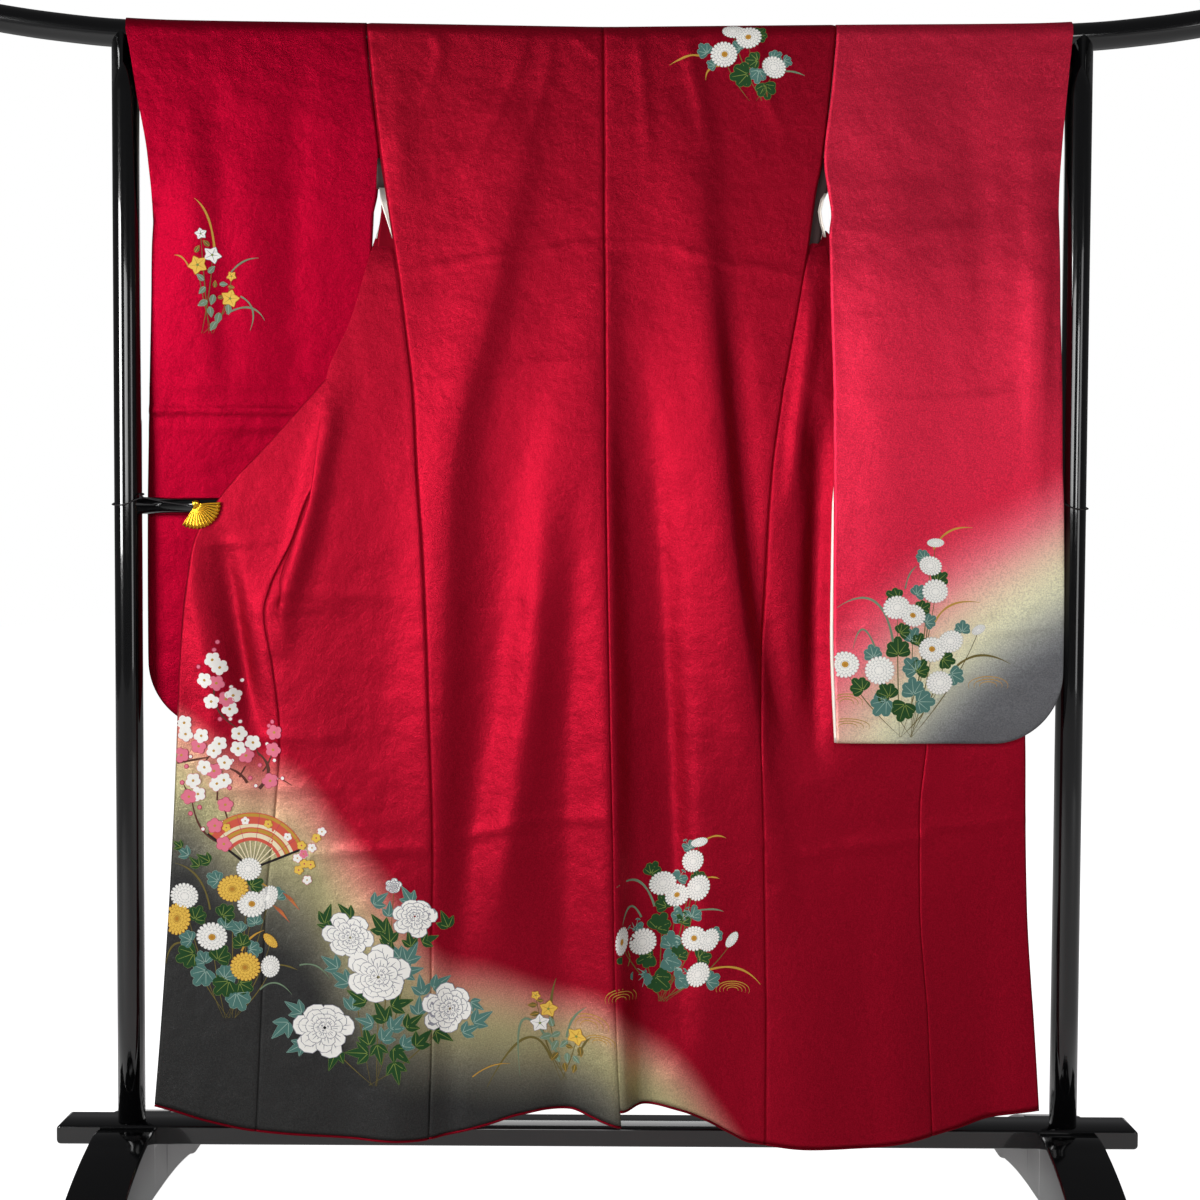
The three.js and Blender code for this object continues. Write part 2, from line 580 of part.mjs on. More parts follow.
// The back, front and okumi of one half, each as a grid of points on its middle with its normals.
function bodyHalf(side) {
  const isLeft = side === 'left';
  const [hem, sign] = isLeft ? [hemLeft, -1] : [hemRight, 1];
  const hemAt = (x) => read(hem, 'x', x, 'z') + hemRoll.height + cloth.seamGap;

  // A point on the row at nominal height `height`: rows spread evenly between the rod and the hem line.
  const onRow = (height, sectionAt) => {
    const drop = (rodTop - height) / (rodTop - nominalHem);
    let z = height;
    for (let i = 0; i < 3; i += 1) {
      const { x } = sectionAt(z);
      z = lerp(rodHeight(x), hemAt(x), drop);
    }
    const { x, y } = sectionAt(z);
    return new THREE.Vector3(x, y, z);
  };
  const backAt = (across) => (z) => {
    const x = lerp(read(backSeams, 'z', z, 'centre'), read(backSeams, 'z', z, side), across);
    return { x, y: backDepth(x, z) };
  };
  const frontAt = (share) => (z) => {
    const { x, y } = frontSection(side, z).getPoint(share);
    const weight = smooth(sideSeamTop + foldsFade, sideSeamTop, z);
    return { x, y: y - lift(folds, x, z) * weight };
  };

  const backShares = Array.from({ length: backColumns + 1 }, (_, c) => c / backColumns);
  const neckX = (h) => sign * read(neckEdge, 'h', h, 'x');
  const topX = (share) => frontSection(side, rodTop).getPoint(share).x;
  const turned = (r) => crestAngle * (1 - r / turnRows);
  const backTurn = Array.from({ length: turnRows }, (_, r) => backShares.map((across) => {
    const seam = read(backSeams, 'z', crestHeight(r), side);
    return overRod(lerp(read(backSeams, 'z', rodTop, 'centre'), seam, across), turned(r));
  }));
  const frontTurn = Array.from({ length: turnRows }, (_, r) => frontShares.map((share) => {
    const seam = read(backSeams, 'z', crestHeight(r), side);
    const across = (topX(share) - topX(0)) / (topX(0.75) - topX(0));
    const inner = neckX(quarterTurn * (r / turnRows));
    return overRod(lerp(seam, inner, across), Math.PI - turned(r));
  }));
  const backDrop = rowHeights.map((height) => backShares.map((across) => onRow(height, backAt(across))));
  const frontDrop = rowHeights.map((height) => frontShares.map((share) => onRow(height, frontAt(share))));
  const okumiHeights = rowHeights.filter((height) => height < okumiTop);
  const okumi = okumiHeights.map((height) => okumiShares.map((share) => onRow(height, frontAt(share))));

  const back = [...backTurn, ...backDrop];
  const front = [...frontTurn, ...frontDrop];
  const okumiStart = front.length - okumi.length;

  const slopeAcross = ({ x, z }) => {
    const reach = 2;
    const rise = (backDepth(x + reach, z) - backDepth(x - reach, z)) / (2 * reach);
    return new THREE.Vector3(sign, sign * rise, 0);
  };
  const joined = (r) => r > turnRows && back[r][backColumns].z < sideSeamTop;
  const backAcross = (r, c) => {
    if (c === 0) return slopeAcross(back[r][0]);
    return c === backColumns && joined(r) ? front[r][1].clone().sub(back[r][c - 1]) : null;
  };
  const okumiAcross = (r) => okumi[r - okumiStart][1].clone().sub(front[r][frontColumns - 1]);
  const frontAcross = (r, c) => {
    if (c === 0 && joined(r)) return front[r][1].clone().sub(back[r][backColumns - 1]);
    return c === frontColumns && r >= okumiStart ? okumiAcross(r) : null;
  };

  // Over the rod the walls stand square to it.
  const overTurn = (normals, angleAt) => normals.map((row, r) => (
    r > turnRows ? row : row.map((normal) => {
      const out = awayFromRod(angleAt(r));
      return out.multiplyScalar(Math.sign(out.dot(normal)));
    })
  ));
  return {
    back: {
      grid: parted(parted(back, true, centreGap), false, sideGap),
      normals: overTurn(gridNormals(back, backAcross), turned),
    },
    front: {
      grid: parted(parted(front, true, sideGap), false),
      normals: overTurn(gridNormals(front, frontAcross), (r) => Math.PI - turned(r)),
    },
    okumi: {
      grid: parted(okumi, true),
      normals: gridNormals(okumi, (r, c) => (c === 0 ? okumiAcross(r + okumiStart) : null)),
    },
  };
}

// The lining rolled out below a panel's hem as a thin edge.
function hemRollOf({ grid, normals }) {
  const hemRow = grid[grid.length - 1];
  const lowered = (depth) => hemRow.map((point) => point.clone().setZ(point.z - cloth.seamGap - depth));
  const hemNormals = normals[normals.length - 1];
  return wallGeometry([lowered(0), lowered(hemRoll.height)], [hemNormals, hemNormals], hemRoll.wall);
}

// ---------------------------------------------------------------- collar

// A place on half of the collar's seam line, which runs from the nape (t = 0) outward and down one front:
// x, the distance h along the cloth from the rod's crest, and y below the rod. `sign` is -1 for the left half.
const napeShare = 0.12;
const turnShare = 0.06;
const turnEnd = napeShare + (1 - napeShare) * turnShare;
const collarPlan = [
  { from: 0, to: napeShare, columns: 3 },
  { from: napeShare, to: turnEnd, columns: 6 },
  { from: turnEnd, to: 1, columns: 16 },
];
function collarSeam(table, sign, t) {
  if (t < napeShare) {
    const s = t / napeShare;
    const x = lerp(0, neckEdge[0].x - collar.napeInset, s);
    return { x: sign * x, h: collar.crest + collar.napeDrop * s ** 4 };
  }
  const s = (t - napeShare) / (1 - napeShare);
  if (s < turnShare) {
    const h = lerp(collar.crest + collar.napeDrop, quarterTurn, s / turnShare);
    return { x: sign * (read(neckEdge, 'h', h, 'x') - collar.overlap), h };
  }
  const z = lerp(rodTop, collar.endHeight, (s - turnShare) / (1 - turnShare));
  const x = read(table, 'z', z, 'edge') - sign * collar.overlap;
  return { x, h: quarterTurn + rodTop - z, y: read(table, 'z', z, 'edgeY') };
}

// A place on the cloth behind the rod, `h` along it from the rod's top.
function behindRod(x, h, y) {
  const radius = clothRadius + collar.clear;
  if (h > quarterTurn) return new THREE.Vector3(x, y, rodHeight(x) - (h - quarterTurn));
  const turn = h / clothRadius;
  return new THREE.Vector3(x, radius * Math.sin(turn), rodHeight(x) + radius * Math.cos(turn));
}

function collarBand() {
  const rows = 5;
  const step = 0.02;
  const half = collarPlan.flatMap(({ from, to, columns }) => (
    Array.from({ length: columns }, (_, k) => lerp(from, to, k / columns))
  )).concat(1);
  const shares = [...half.slice(1).reverse().map((t) => -t), ...half];
  const halves = { left: frontLeft, right: frontRight };
  const seamAt = (t) => collarSeam(t < 0 ? halves.left : halves.right, t < 0 ? -1 : 1, Math.abs(t));
  const pointAt = (t, row) => {
    const here = seamAt(t);
    const next = seamAt(clamp(t + step, -1, 1));
    const last = seamAt(clamp(t - step, -1, 1));
    const along = new THREE.Vector2(next.x - last.x, next.h - last.h).normalize();
    const inward = new THREE.Vector2(-along.y, along.x);
    const width = lerp(collar.napeWidth, collar.endWidth, Math.abs(t)) * (row / rows);
    const x = here.x + inward.x * width;
    const h = Math.max(here.h + inward.y * width, collar.crest);
    const z = rodTop - (here.h - quarterTurn);
    const under = smooth(collar.leave, collar.tuckUnder, z);
    const y = (here.y ?? clothRadius) + lerp(collar.clear, collar.behind, under);
    return behindRod(x, h, y);
  };
  const grid = Array.from({ length: rows + 1 }, (_, row) => (
    shares.map((t) => pointAt(t, row))
  ));
  return wallGeometry(grid, gridNormals(grid), cloth.collarWall);
}

// ---------------------------------------------------------------- sleeves

// Columns crowd toward the outer edge so that they follow the rounded lower corner.
function sleeveShares(count, cornerShare, cornerColumns) {
  const shares = [];
  for (let i = 0; i < count; i += 1) shares.push(((1 - cornerShare) * i) / count);
  for (let i = 0; i <= cornerColumns; i += 1) {
    shares.push(1 - cornerShare * (1 - Math.sin((Math.PI / 2) * (i / cornerColumns))));
  }
  return shares;
}

function sleeveHalf(sleeve, sign, isNear) {
  const shares = sleeveShares(isNear ? 6 : 4, sleeveSeams.cornerShare, isNear ? 4 : 3);
  const dropRows = isNear ? 20 : 16;
  const column = isNear ? 'near' : 'far';
  const innerColumn = isNear ? 'inner' : 'farInner';
  const edge = (z, name) => read(sleeve.edges, 'z', z, name);
  const xAt = (z, share) => lerp(edge(z, innerColumn) + sign * armholeInset, edge(z, 'outer'), share);
  const angleAt = (row) => {
    const angle = crestAngle * (1 - row / turnRows);
    return isNear ? angle : Math.PI - angle;
  };
  const pointAt = (share, row) => {
    if (row <= turnRows) return overRod(xAt(crestHeight(row), share), angleAt(row));
    const drop = (row - turnRows) / dropRows;
    const corner = clamp(1 - (1 - share) / sleeveSeams.cornerShare, 0, 1);
    const bottom = sleeve.bottom + sleeve.cornerRadius * (1 - Math.sqrt(1 - corner ** 2));
    const z = lerp(rodHeight(xAt(rodTop, share)), bottom, drop);
    const x = xAt(z, share);
    const middle = (edge(z, 'near') + edge(z, 'far')) / 2;
    const sewnEdge = smooth(cuff.open, cuff.sewn, z) * share ** sleeveSeams.outerPower;
    const opened = (1 - sewnEdge) * (1 - drop ** sleeveSeams.bottomPower);
    const seamHalf = (cloth.wall + cloth.seamGap) / 2 + sleeveSeams.slack;
    const half = Math.abs(edge(z, column) - middle);
    const apart = seamHalf + (half - seamHalf) * Math.sqrt(Math.max(0, opened));
    const y = middle + (isNear ? -apart : apart) - (isNear ? lift(sleeveFolds, x, z) : 0);
    return new THREE.Vector3(x, y, z);
  };
  const rows = turnRows + dropRows;
  const grid = Array.from({ length: rows + 1 }, (_, row) => shares.map((share) => pointAt(share, row)));
  const normals = gridNormals(grid).map((line, row) => (row > turnRows ? line : line.map((normal) => {
    const out = awayFromRod(angleAt(row));
    return out.multiplyScalar(Math.sign(out.dot(normal)));
  })));
  return wallGeometry(grid, normals, cloth.wall);
}

// ---------------------------------------------------------------- stand

function toManifold(geometry) {
  const bare = geometry.clone();
  for (const name of Object.keys(bare.attributes)) {
    if (name !== 'position') bare.deleteAttribute(name);
  }
  const merged = BufferGeometryUtils.mergeVertices(bare, 1e-4);
  return new wasm.Manifold(new wasm.Mesh({
    numProp: 3,
    vertProperties: new Float32Array(merged.attributes.position.array),
    triVerts: new Uint32Array(merged.index.array),
  }));
}

function fromManifold(solid) {
  const mesh = solid.getMesh();
  const geometry = new THREE.BufferGeometry();
  geometry.setAttribute('position', new THREE.BufferAttribute(mesh.vertProperties, 3));
  geometry.setIndex(new THREE.BufferAttribute(mesh.triVerts, 1));
  geometry.computeVertexNormals();
  return geometry;
}

function tube(points, radius, sides, steps) {
  const ring = new THREE.Shape();
  for (let i = 0; i < sides; i += 1) {
    const angle = (2 * Math.PI * i) / sides;
    const [x, y] = [radius * Math.cos(angle), radius * Math.sin(angle)];
    if (i === 0) ring.moveTo(x, y);
    else ring.lineTo(x, y);
  }
  ring.closePath();
  const path = new THREE.CatmullRomCurve3(points, false, 'centripetal');
  return new THREE.ExtrudeGeometry(ring, { extrudePath: path, steps, bevelEnabled: false });
}

// The top rod: rings round its middle line, closed at both ends.
function rodGeometry(radius) {
  const sides = 18;
  const spans = 24;
  const end = rodLine[rodLine.length - 1].x;
  const points = [];
  for (let i = 0; i <= spans; i += 1) {
    const x = lerp(-end, end, i / spans);
    for (let k = 0; k < sides; k += 1) {
      const angle = (2 * Math.PI * k) / sides;
      points.push(new THREE.Vector3(x, radius * Math.cos(angle), rodHeight(x) + radius * Math.sin(angle)));
    }
  }
  const faces = [];
  for (let i = 0; i < spans; i += 1) {
    for (let k = 0; k < sides; k += 1) {
      const [a, b] = [i * sides + k, i * sides + ((k + 1) % sides)];
      faces.push(a, b, b + sides, a, b + sides, a + sides);
    }
  }
  const lastRing = spans * sides;
  for (let k = 1; k + 1 < sides; k += 1) {
    faces.push(0, k + 1, k);
    faces.push(lastRing, lastRing + k, lastRing + k + 1);
  }
  return closedGeometry(points, faces);
}

const railLength = stand.postSpacing - 2 * stand.poleRadius + 2 * stand.railSocket;

function postGeometry(sign) {
  const bottom = beam.top + stand.clearance;
  const top = rodHeight(stand.postSpacing / 2);
  const post = new THREE.CylinderGeometry(stand.poleRadius, stand.poleRadius, top - bottom, 24);
  post.rotateX(Math.PI / 2);
  post.translate((sign * stand.postSpacing) / 2, 0, (top + bottom) / 2);
  const saddle = rodGeometry(stand.poleRadius + stand.clearance);
  const socket = railGeometry(stand.railRadius + stand.clearance, railLength);
  return fromManifold(toManifold(post).subtract(toManifold(saddle)).subtract(toManifold(socket)));
}

function railGeometry(radius, length) {
  const rail = new THREE.CylinderGeometry(radius, radius, length, 20);
  rail.rotateZ(Math.PI / 2);
  rail.translate(0, 0, stand.railHeight);
  return rail;
}

function beamGeometry() {
  const half = beam.length / 2 - beam.bevel;
  const low = beam.top - beam.height + beam.bevel;
  const high = beam.top - beam.bevel;
  const side = new THREE.Shape();
  side.moveTo(-half + beam.chamfer, low);
  side.lineTo(half - beam.chamfer, low);
  side.lineTo(half, low + beam.chamfer);
  side.lineTo(half, high - beam.chamfer);
  side.lineTo(half - beam.chamfer, high);
  side.lineTo(-half + beam.chamfer, high);
  side.lineTo(-half, high - beam.chamfer);
  side.lineTo(-half, low + beam.chamfer);
  side.closePath();
  const depth = beam.depth - 2 * beam.bevel;
  const geometry = new THREE.ExtrudeGeometry(side, {
    depth,
    bevelThickness: beam.bevel,
    bevelSize: beam.bevel,
    bevelSegments: 1,
  });
  geometry.rotateX(Math.PI / 2);
  geometry.translate(0, depth / 2, 0);
  return geometry;
}

function footGeometry(sign) {
  const outline = new THREE.Shape();
  const mirrored = footProfile.slice(1).reverse().map((row) => ({ ...row, y: -row.y }));
  const whole = [...mirrored, ...footProfile];
  whole.forEach(({ y, top }, i) => (i === 0 ? outline.moveTo(y, top) : outline.lineTo(y, top)));
  [...whole].reverse().forEach(({ y, arch }) => outline.lineTo(y, arch));
  outline.closePath();
  const solid = new THREE.ExtrudeGeometry(outline, { depth: foot.width, bevelEnabled: false });
  solid.applyMatrix4(new THREE.Matrix4().makeBasis(
    new THREE.Vector3(0, 1, 0),
    new THREE.Vector3(0, 0, 1),
    new THREE.Vector3(1, 0, 0),
  ));
  solid.translate((sign * stand.postSpacing) / 2 - foot.width / 2, 0, 0);
  const notchHeight = beam.height + 2 * stand.clearance + foot.width;
  const notch = new THREE.BoxGeometry(2 * foot.width, beam.depth + 2 * stand.clearance, notchHeight);
  const notchBottom = beam.top - beam.height - stand.clearance;
  notch.translate((sign * stand.postSpacing) / 2, 0, notchBottom + notchHeight / 2);
  return fromManifold(toManifold(solid).subtract(toManifold(notch)));
}

// ---------------------------------------------------------------- clips and cords

function fanClip(sign) {
  const { x, z } = fan.pivot;
  const columns = fan.pleats * 2;
  const surface = (column, row) => {
    const angle = rad(lerp(fan.fromAngle, fan.toAngle, column / columns));
    const isCrest = column % 2 === 0;
    const reach = lerp(fan.leafStart, isCrest ? fan.radius : fan.radius - fan.scallop, row);
    const pleat = (isCrest ? -0.5 : 0.5) * fan.pleatDepth * row;
    const across = x - reach * Math.cos(angle);
    return new THREE.Vector3(sign * across, fan.front + pleat, z + reach * Math.sin(angle));
  };
  const grid = [0, 1].map((row) => Array.from({ length: columns + 1 }, (_, column) => surface(column, row)));
  const leaf = toManifold(wallGeometry(grid, gridNormals(grid), fan.plate));
  const hubLength = fan.jawFront + fan.jawWall - fan.front + fan.plate;
  const hub = new THREE.CylinderGeometry(fan.hub, fan.hub, hubLength, 16);
  hub.translate(sign * x, fan.front - fan.plate + hubLength / 2, z);
  const jaw = new THREE.BoxGeometry(fan.jawLength, fan.jawWall, fan.jawWidth);
  jaw.translate(fan.jawLength / 2, fan.jawFront + fan.jawWall / 2, 0);
  jaw.rotateY(rad(sign < 0 ? -fan.jawAngle : fan.jawAngle - 180));
  jaw.translate(sign * x, 0, z);
  return fromManifold(leaf.add(toManifold(hub)).add(toManifold(jaw)));
}

function clipCord(sign) {
  const route = cordRoute.map(({ x, y, z }) => new THREE.Vector3(sign * x, y, z));
  const loop = toManifold(tube(route, cord.radius, 6, 44));
  const ball = new THREE.SphereGeometry(cord.knotRadius, 8, 6);
  ball.translate(sign * knot.x, knot.y, knot.z);
  return fromManifold(loop.add(toManifold(ball)));
}

// ---------------------------------------------------------------- assembly

add('top_rod', rodGeometry(stand.poleRadius), lacquer);
add('rail', railGeometry(stand.railRadius, railLength), lacquer);
add('beam', beamGeometry(), lacquer);

for (const side of ['left', 'right']) {
  const sign = side === 'left' ? -1 : 1;
  add(`post_${side}`, postGeometry(sign), lacquer);
  add(`foot_${side}`, footGeometry(sign), lacquer);
  add(`fan_clip_${side}`, fanClip(sign), gilt);
  add(`clip_cord_${side}`, clipCord(sign), elastic);

  for (const [name, panel] of Object.entries(bodyHalf(side))) {
    const wall = wallGeometry(panel.grid, panel.normals, cloth.wall);
    add(`${name}_${side}`, wall, name === 'okumi' ? dyedSilk : silk);
    add(`hem_roll_${name}_${side}`, hemRollOf(panel), piping);
  }

  const sleeve = side === 'left' ? sleeveLeft : sleeveRight;
  add(`sleeve_${side}_near`, sleeveHalf(sleeve, sign, true), silk);
  add(`sleeve_${side}_far`, sleeveHalf(sleeve, sign, false), silk);
}

add('collar', collarBand(), silk);

export default group;
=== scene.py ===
"""A furisode kimono hung open on a black lacquered stand, its back to the viewer."""
import math
import bpy
import numpy as np
from mathutils import Matrix, Vector
from mathutils.bvhtree import BVHTree


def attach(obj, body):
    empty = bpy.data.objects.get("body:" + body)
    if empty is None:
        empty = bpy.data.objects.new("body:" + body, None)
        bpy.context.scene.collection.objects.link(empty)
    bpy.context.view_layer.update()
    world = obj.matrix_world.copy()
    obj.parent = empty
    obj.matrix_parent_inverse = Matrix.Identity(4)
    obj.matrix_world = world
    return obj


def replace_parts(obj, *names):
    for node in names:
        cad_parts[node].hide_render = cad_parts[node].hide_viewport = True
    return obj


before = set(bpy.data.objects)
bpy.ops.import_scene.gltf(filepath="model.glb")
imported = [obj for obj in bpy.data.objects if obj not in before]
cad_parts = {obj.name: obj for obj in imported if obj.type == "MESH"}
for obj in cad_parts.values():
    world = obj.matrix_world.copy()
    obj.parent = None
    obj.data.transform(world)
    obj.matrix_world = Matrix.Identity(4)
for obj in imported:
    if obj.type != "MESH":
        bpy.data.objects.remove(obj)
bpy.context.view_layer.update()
MM = 0.001
SIDES = ("left", "right")


# ------------------------------------------------------------------ camera

IMAGE = 1200                     # the picture's side, in pixels
FOCAL = 1336.0                   # in the same pixels
SENSOR = 36.0                    # millimetres
CAMERA_AT = Vector((0.004, -1.920, 0.941))
PITCH, ROLL, YAW = 0.030, 0.0047, -0.0017    # radians


def make_camera():
    """The camera looks along +Y, a little down, at the height and distance of the photograph's."""
    forward = Vector((math.sin(YAW) * math.cos(PITCH), math.cos(YAW) * math.cos(PITCH), -math.sin(PITCH)))
    level = Vector((math.cos(YAW), -math.sin(YAW), 0.0))
    over = level.cross(forward)
    right = math.cos(ROLL) * level + math.sin(ROLL) * over
    up = -math.sin(ROLL) * level + math.cos(ROLL) * over
    data = bpy.data.cameras.new("camera")
    data.sensor_width = SENSOR
    data.lens = FOCAL / IMAGE * SENSOR
    data.clip_end = 100.0
    camera = bpy.data.objects.new("camera", data)
    bpy.context.collection.objects.link(camera)
    turn = Matrix((right, up, -forward)).transposed()
    camera.matrix_world = Matrix.Translation(CAMERA_AT) @ turn.to_4x4()
    bpy.context.scene.camera = camera


make_camera()


# ------------------------------------------------------------------ tables, in millimetres

def table(columns, *rows):
    """A short table as named columns of numbers."""
    return dict(zip(columns.split(), np.array(rows, float).T))


def fold(_label, left, right, *line):
    """A soft fold: its line of (z, x, lift) and how far it fades to each side of its crest."""
    return {"left": left, "right": right, "line": table("z x lift", *line)}


def crease(below, above, *line):
    """A crease that runs across: its line of (x, z, lift) and how far it fades below and above."""
    return {"below": below, "above": above, "line": table("x z lift", *line)}


ROD_LINE = table("x z",
    (0, 1674.5),
    (340, 1679),
    (600, 1682),
    (690, 1686),
    (780, 1695),
    (855, 1706),
    (905, 1716))

FOOT_PROFILE = table("y top arch",
    (0, 119, 22),
    (34, 119, 21),
    (70, 109, 19),
    (105, 94, 15),
    (140, 74, 9),
    (170, 52, 0),
    (195, 29, 0),
    (207, 9, 0))

BACK_SEAMS = table("z left centre right",
    (1700, -333, 2, 330),
    (1595, -322, 3, 321),
    (1501, -311, 4, 311),
    (1462, -305, 4, 303),
    (1385, -293, 5, 293),
    (1341, -286, 6, 286),
    (1245, -273, 7, 269),
    (1175, -265, 8, 257),
    (1055, -258, 9, 242),
    (935, -249, 11, 235),
    (705, -239, 16, 229),
    (525, -234, 21, 234),
    (385, -236, 23, 237),
    (260, -235, 27, 239),
    (115, -239, 36, 239))

HANG = table("z out",
    (1680, 20.6),
    (1500, 22),
    (1343, 24),
    (1200, 27),
    (1025, 30),
    (785, 34),
    (450, 36),
    (115, 36))

HEM_LEFT = table("x z",
    (-640, 163),
    (-604, 153),
    (-558, 139),
    (-487, 125),
    (-394, 119),
    (-325, 117),
    (-239, 117),
    (-158, 136),
    (-111, 151),
    (-70, 157),
    (-40, 157),
    (4, 147),
    (40, 140))

HEM_RIGHT = table("x z",
    (30, 163),
    (58, 163),
    (86, 162),
    (121, 157),
    (159, 143),
    (190, 127),
    (219, 115),
    (300, 111),
    (381, 112),
    (440, 120),
    (515, 135),
    (561, 148),
    (640, 163))

FRONT_LEFT = table("z fold foldY tuck tuckY seam seamY edge edgeY",
    (1680, -262, 20.5, -150, 20.5, -76, 20.5, -72, 20.5),
    (1620, -264, 21, -160, 21, -94, 21, -90, 21),
    (1560, -278, 21, -160, 21, -102, 21, -98, 21),
    (1501, -298, 17, -152, 19, -138, 20, -135, 20),
    (1458, -309, 0, -128, 12, -170, 17, -180, 18),
    (1425, -312, -9, -142, 4, -185, 12, -208, 14),
    (1385, -322, -18, -156, -2, -204, 5, -235, 8),
    (1343, -333, -25, -175, -9, -222, -7, -268, -3),
    (1275, -353, -28, -219, -14.5, -258, -12, -323, -9),
    (1200, -385, -31, -277, -21, -298, -18, -387, -13),
    (1115, -396, -34, -319, -24, -352, -19, -462, -15),
    (1025, -407, -36, -363, -25, -415, -20, -543, -16.5),
    (965, -430, -36, -402, -27, -437, -22, -577, -18),
    (905, -450, -35, -440, -29, -466, -25, -587, -20),
    (865, -446, -34, -458, -31, -476, -28, -592, -22),
    (785, -420, -34, -442, -33, -463, -31, -597, -26),
    (690, -405, -34, -430, -33, -454, -32, -600, -28),
    (585, -405, -35, -435, -34, -460, -33, -604, -30),
    (450, -410, -36, -445, -35, -473, -34, -611, -32),
    (260, -420, -37, -455, -36, -481, -35, -624, -34),
    (115, -425, -37, -460, -36, -488, -35, -636, -35))

FRONT_RIGHT = table("z fold foldY tuck tuckY seam seamY edge edgeY",
    (1680, 262, 20.5, 150, 20.5, 76, 20.5, 72, 20.5),
    (1620, 264, 21, 160, 21, 94, 21, 90, 21),
    (1560, 278, 21, 160, 21, 102, 21, 98, 21),
    (1501, 298, 17, 152, 19, 138, 20, 135, 20),
    (1458, 308, 0, 128, 12, 170, 17, 180, 18),
    (1425, 309, -9, 142, 4, 185, 12, 208, 14),
    (1385, 317, -17, 156, -2, 204, 5, 235, 8),
    (1343, 326, -23, 175, -13, 222, -7, 268, -3),
    (1275, 345, -27, 219, -17, 258, -12, 323, -9),
    (1200, 375, -29, 285, -20, 302, -18, 387, -13),
    (1115, 385, -30, 330, -22, 352, -19, 462, -15),
    (1025, 396, -30, 366, -23, 415, -20, 543, -16.5),
    (965, 415, -30, 398, -25, 437, -22, 573, -18),
    (905, 425, -31, 425, -28, 455, -25, 585, -20),
    (865, 420, -32, 440, -30, 463, -28, 592, -22),
    (785, 415, -33, 442, -32, 466, -31, 598, -26),
    (690, 410, -34, 440, -33, 465, -32, 602, -28),
    (585, 405, -35, 430, -34, 456, -33, 604, -30),
    (450, 405, -36, 432, -35, 457, -34, 609, -32),
    (286, 415, -36, 445, -35, 470, -34, 622, -34),
    (115, 425, -36, 455, -35, 478, -35, 634, -35))

NECK_EDGE = table("h x",
    (0, 46),
    (14, 60),
    (32, 72))

CORD_ROUTE = table("x y z",
    (580.5, -18.5, 1016),
    (597, -17.8, 1017.5),
    (616, -17, 1020),
    (636, -16.4, 1024),
    (650, -16.6, 1026.5),
    (661, -18.4, 1023),
    (669.5, -20, 1018.5),
    (679, -21, 1016),
    (690, -17.2, 1016),
    (696.4, -9.4, 1017),
    (698, 1, 1019),
    (694.4, 12, 1022.5),
    (686, 19.2, 1026),
    (675, 21, 1029),
    (664.6, 17, 1031.2),
    (657.8, 8.6, 1032.6),
    (656, -2, 1033),
    (657.6, -10, 1031.6),
    (654.5, -15, 1029))

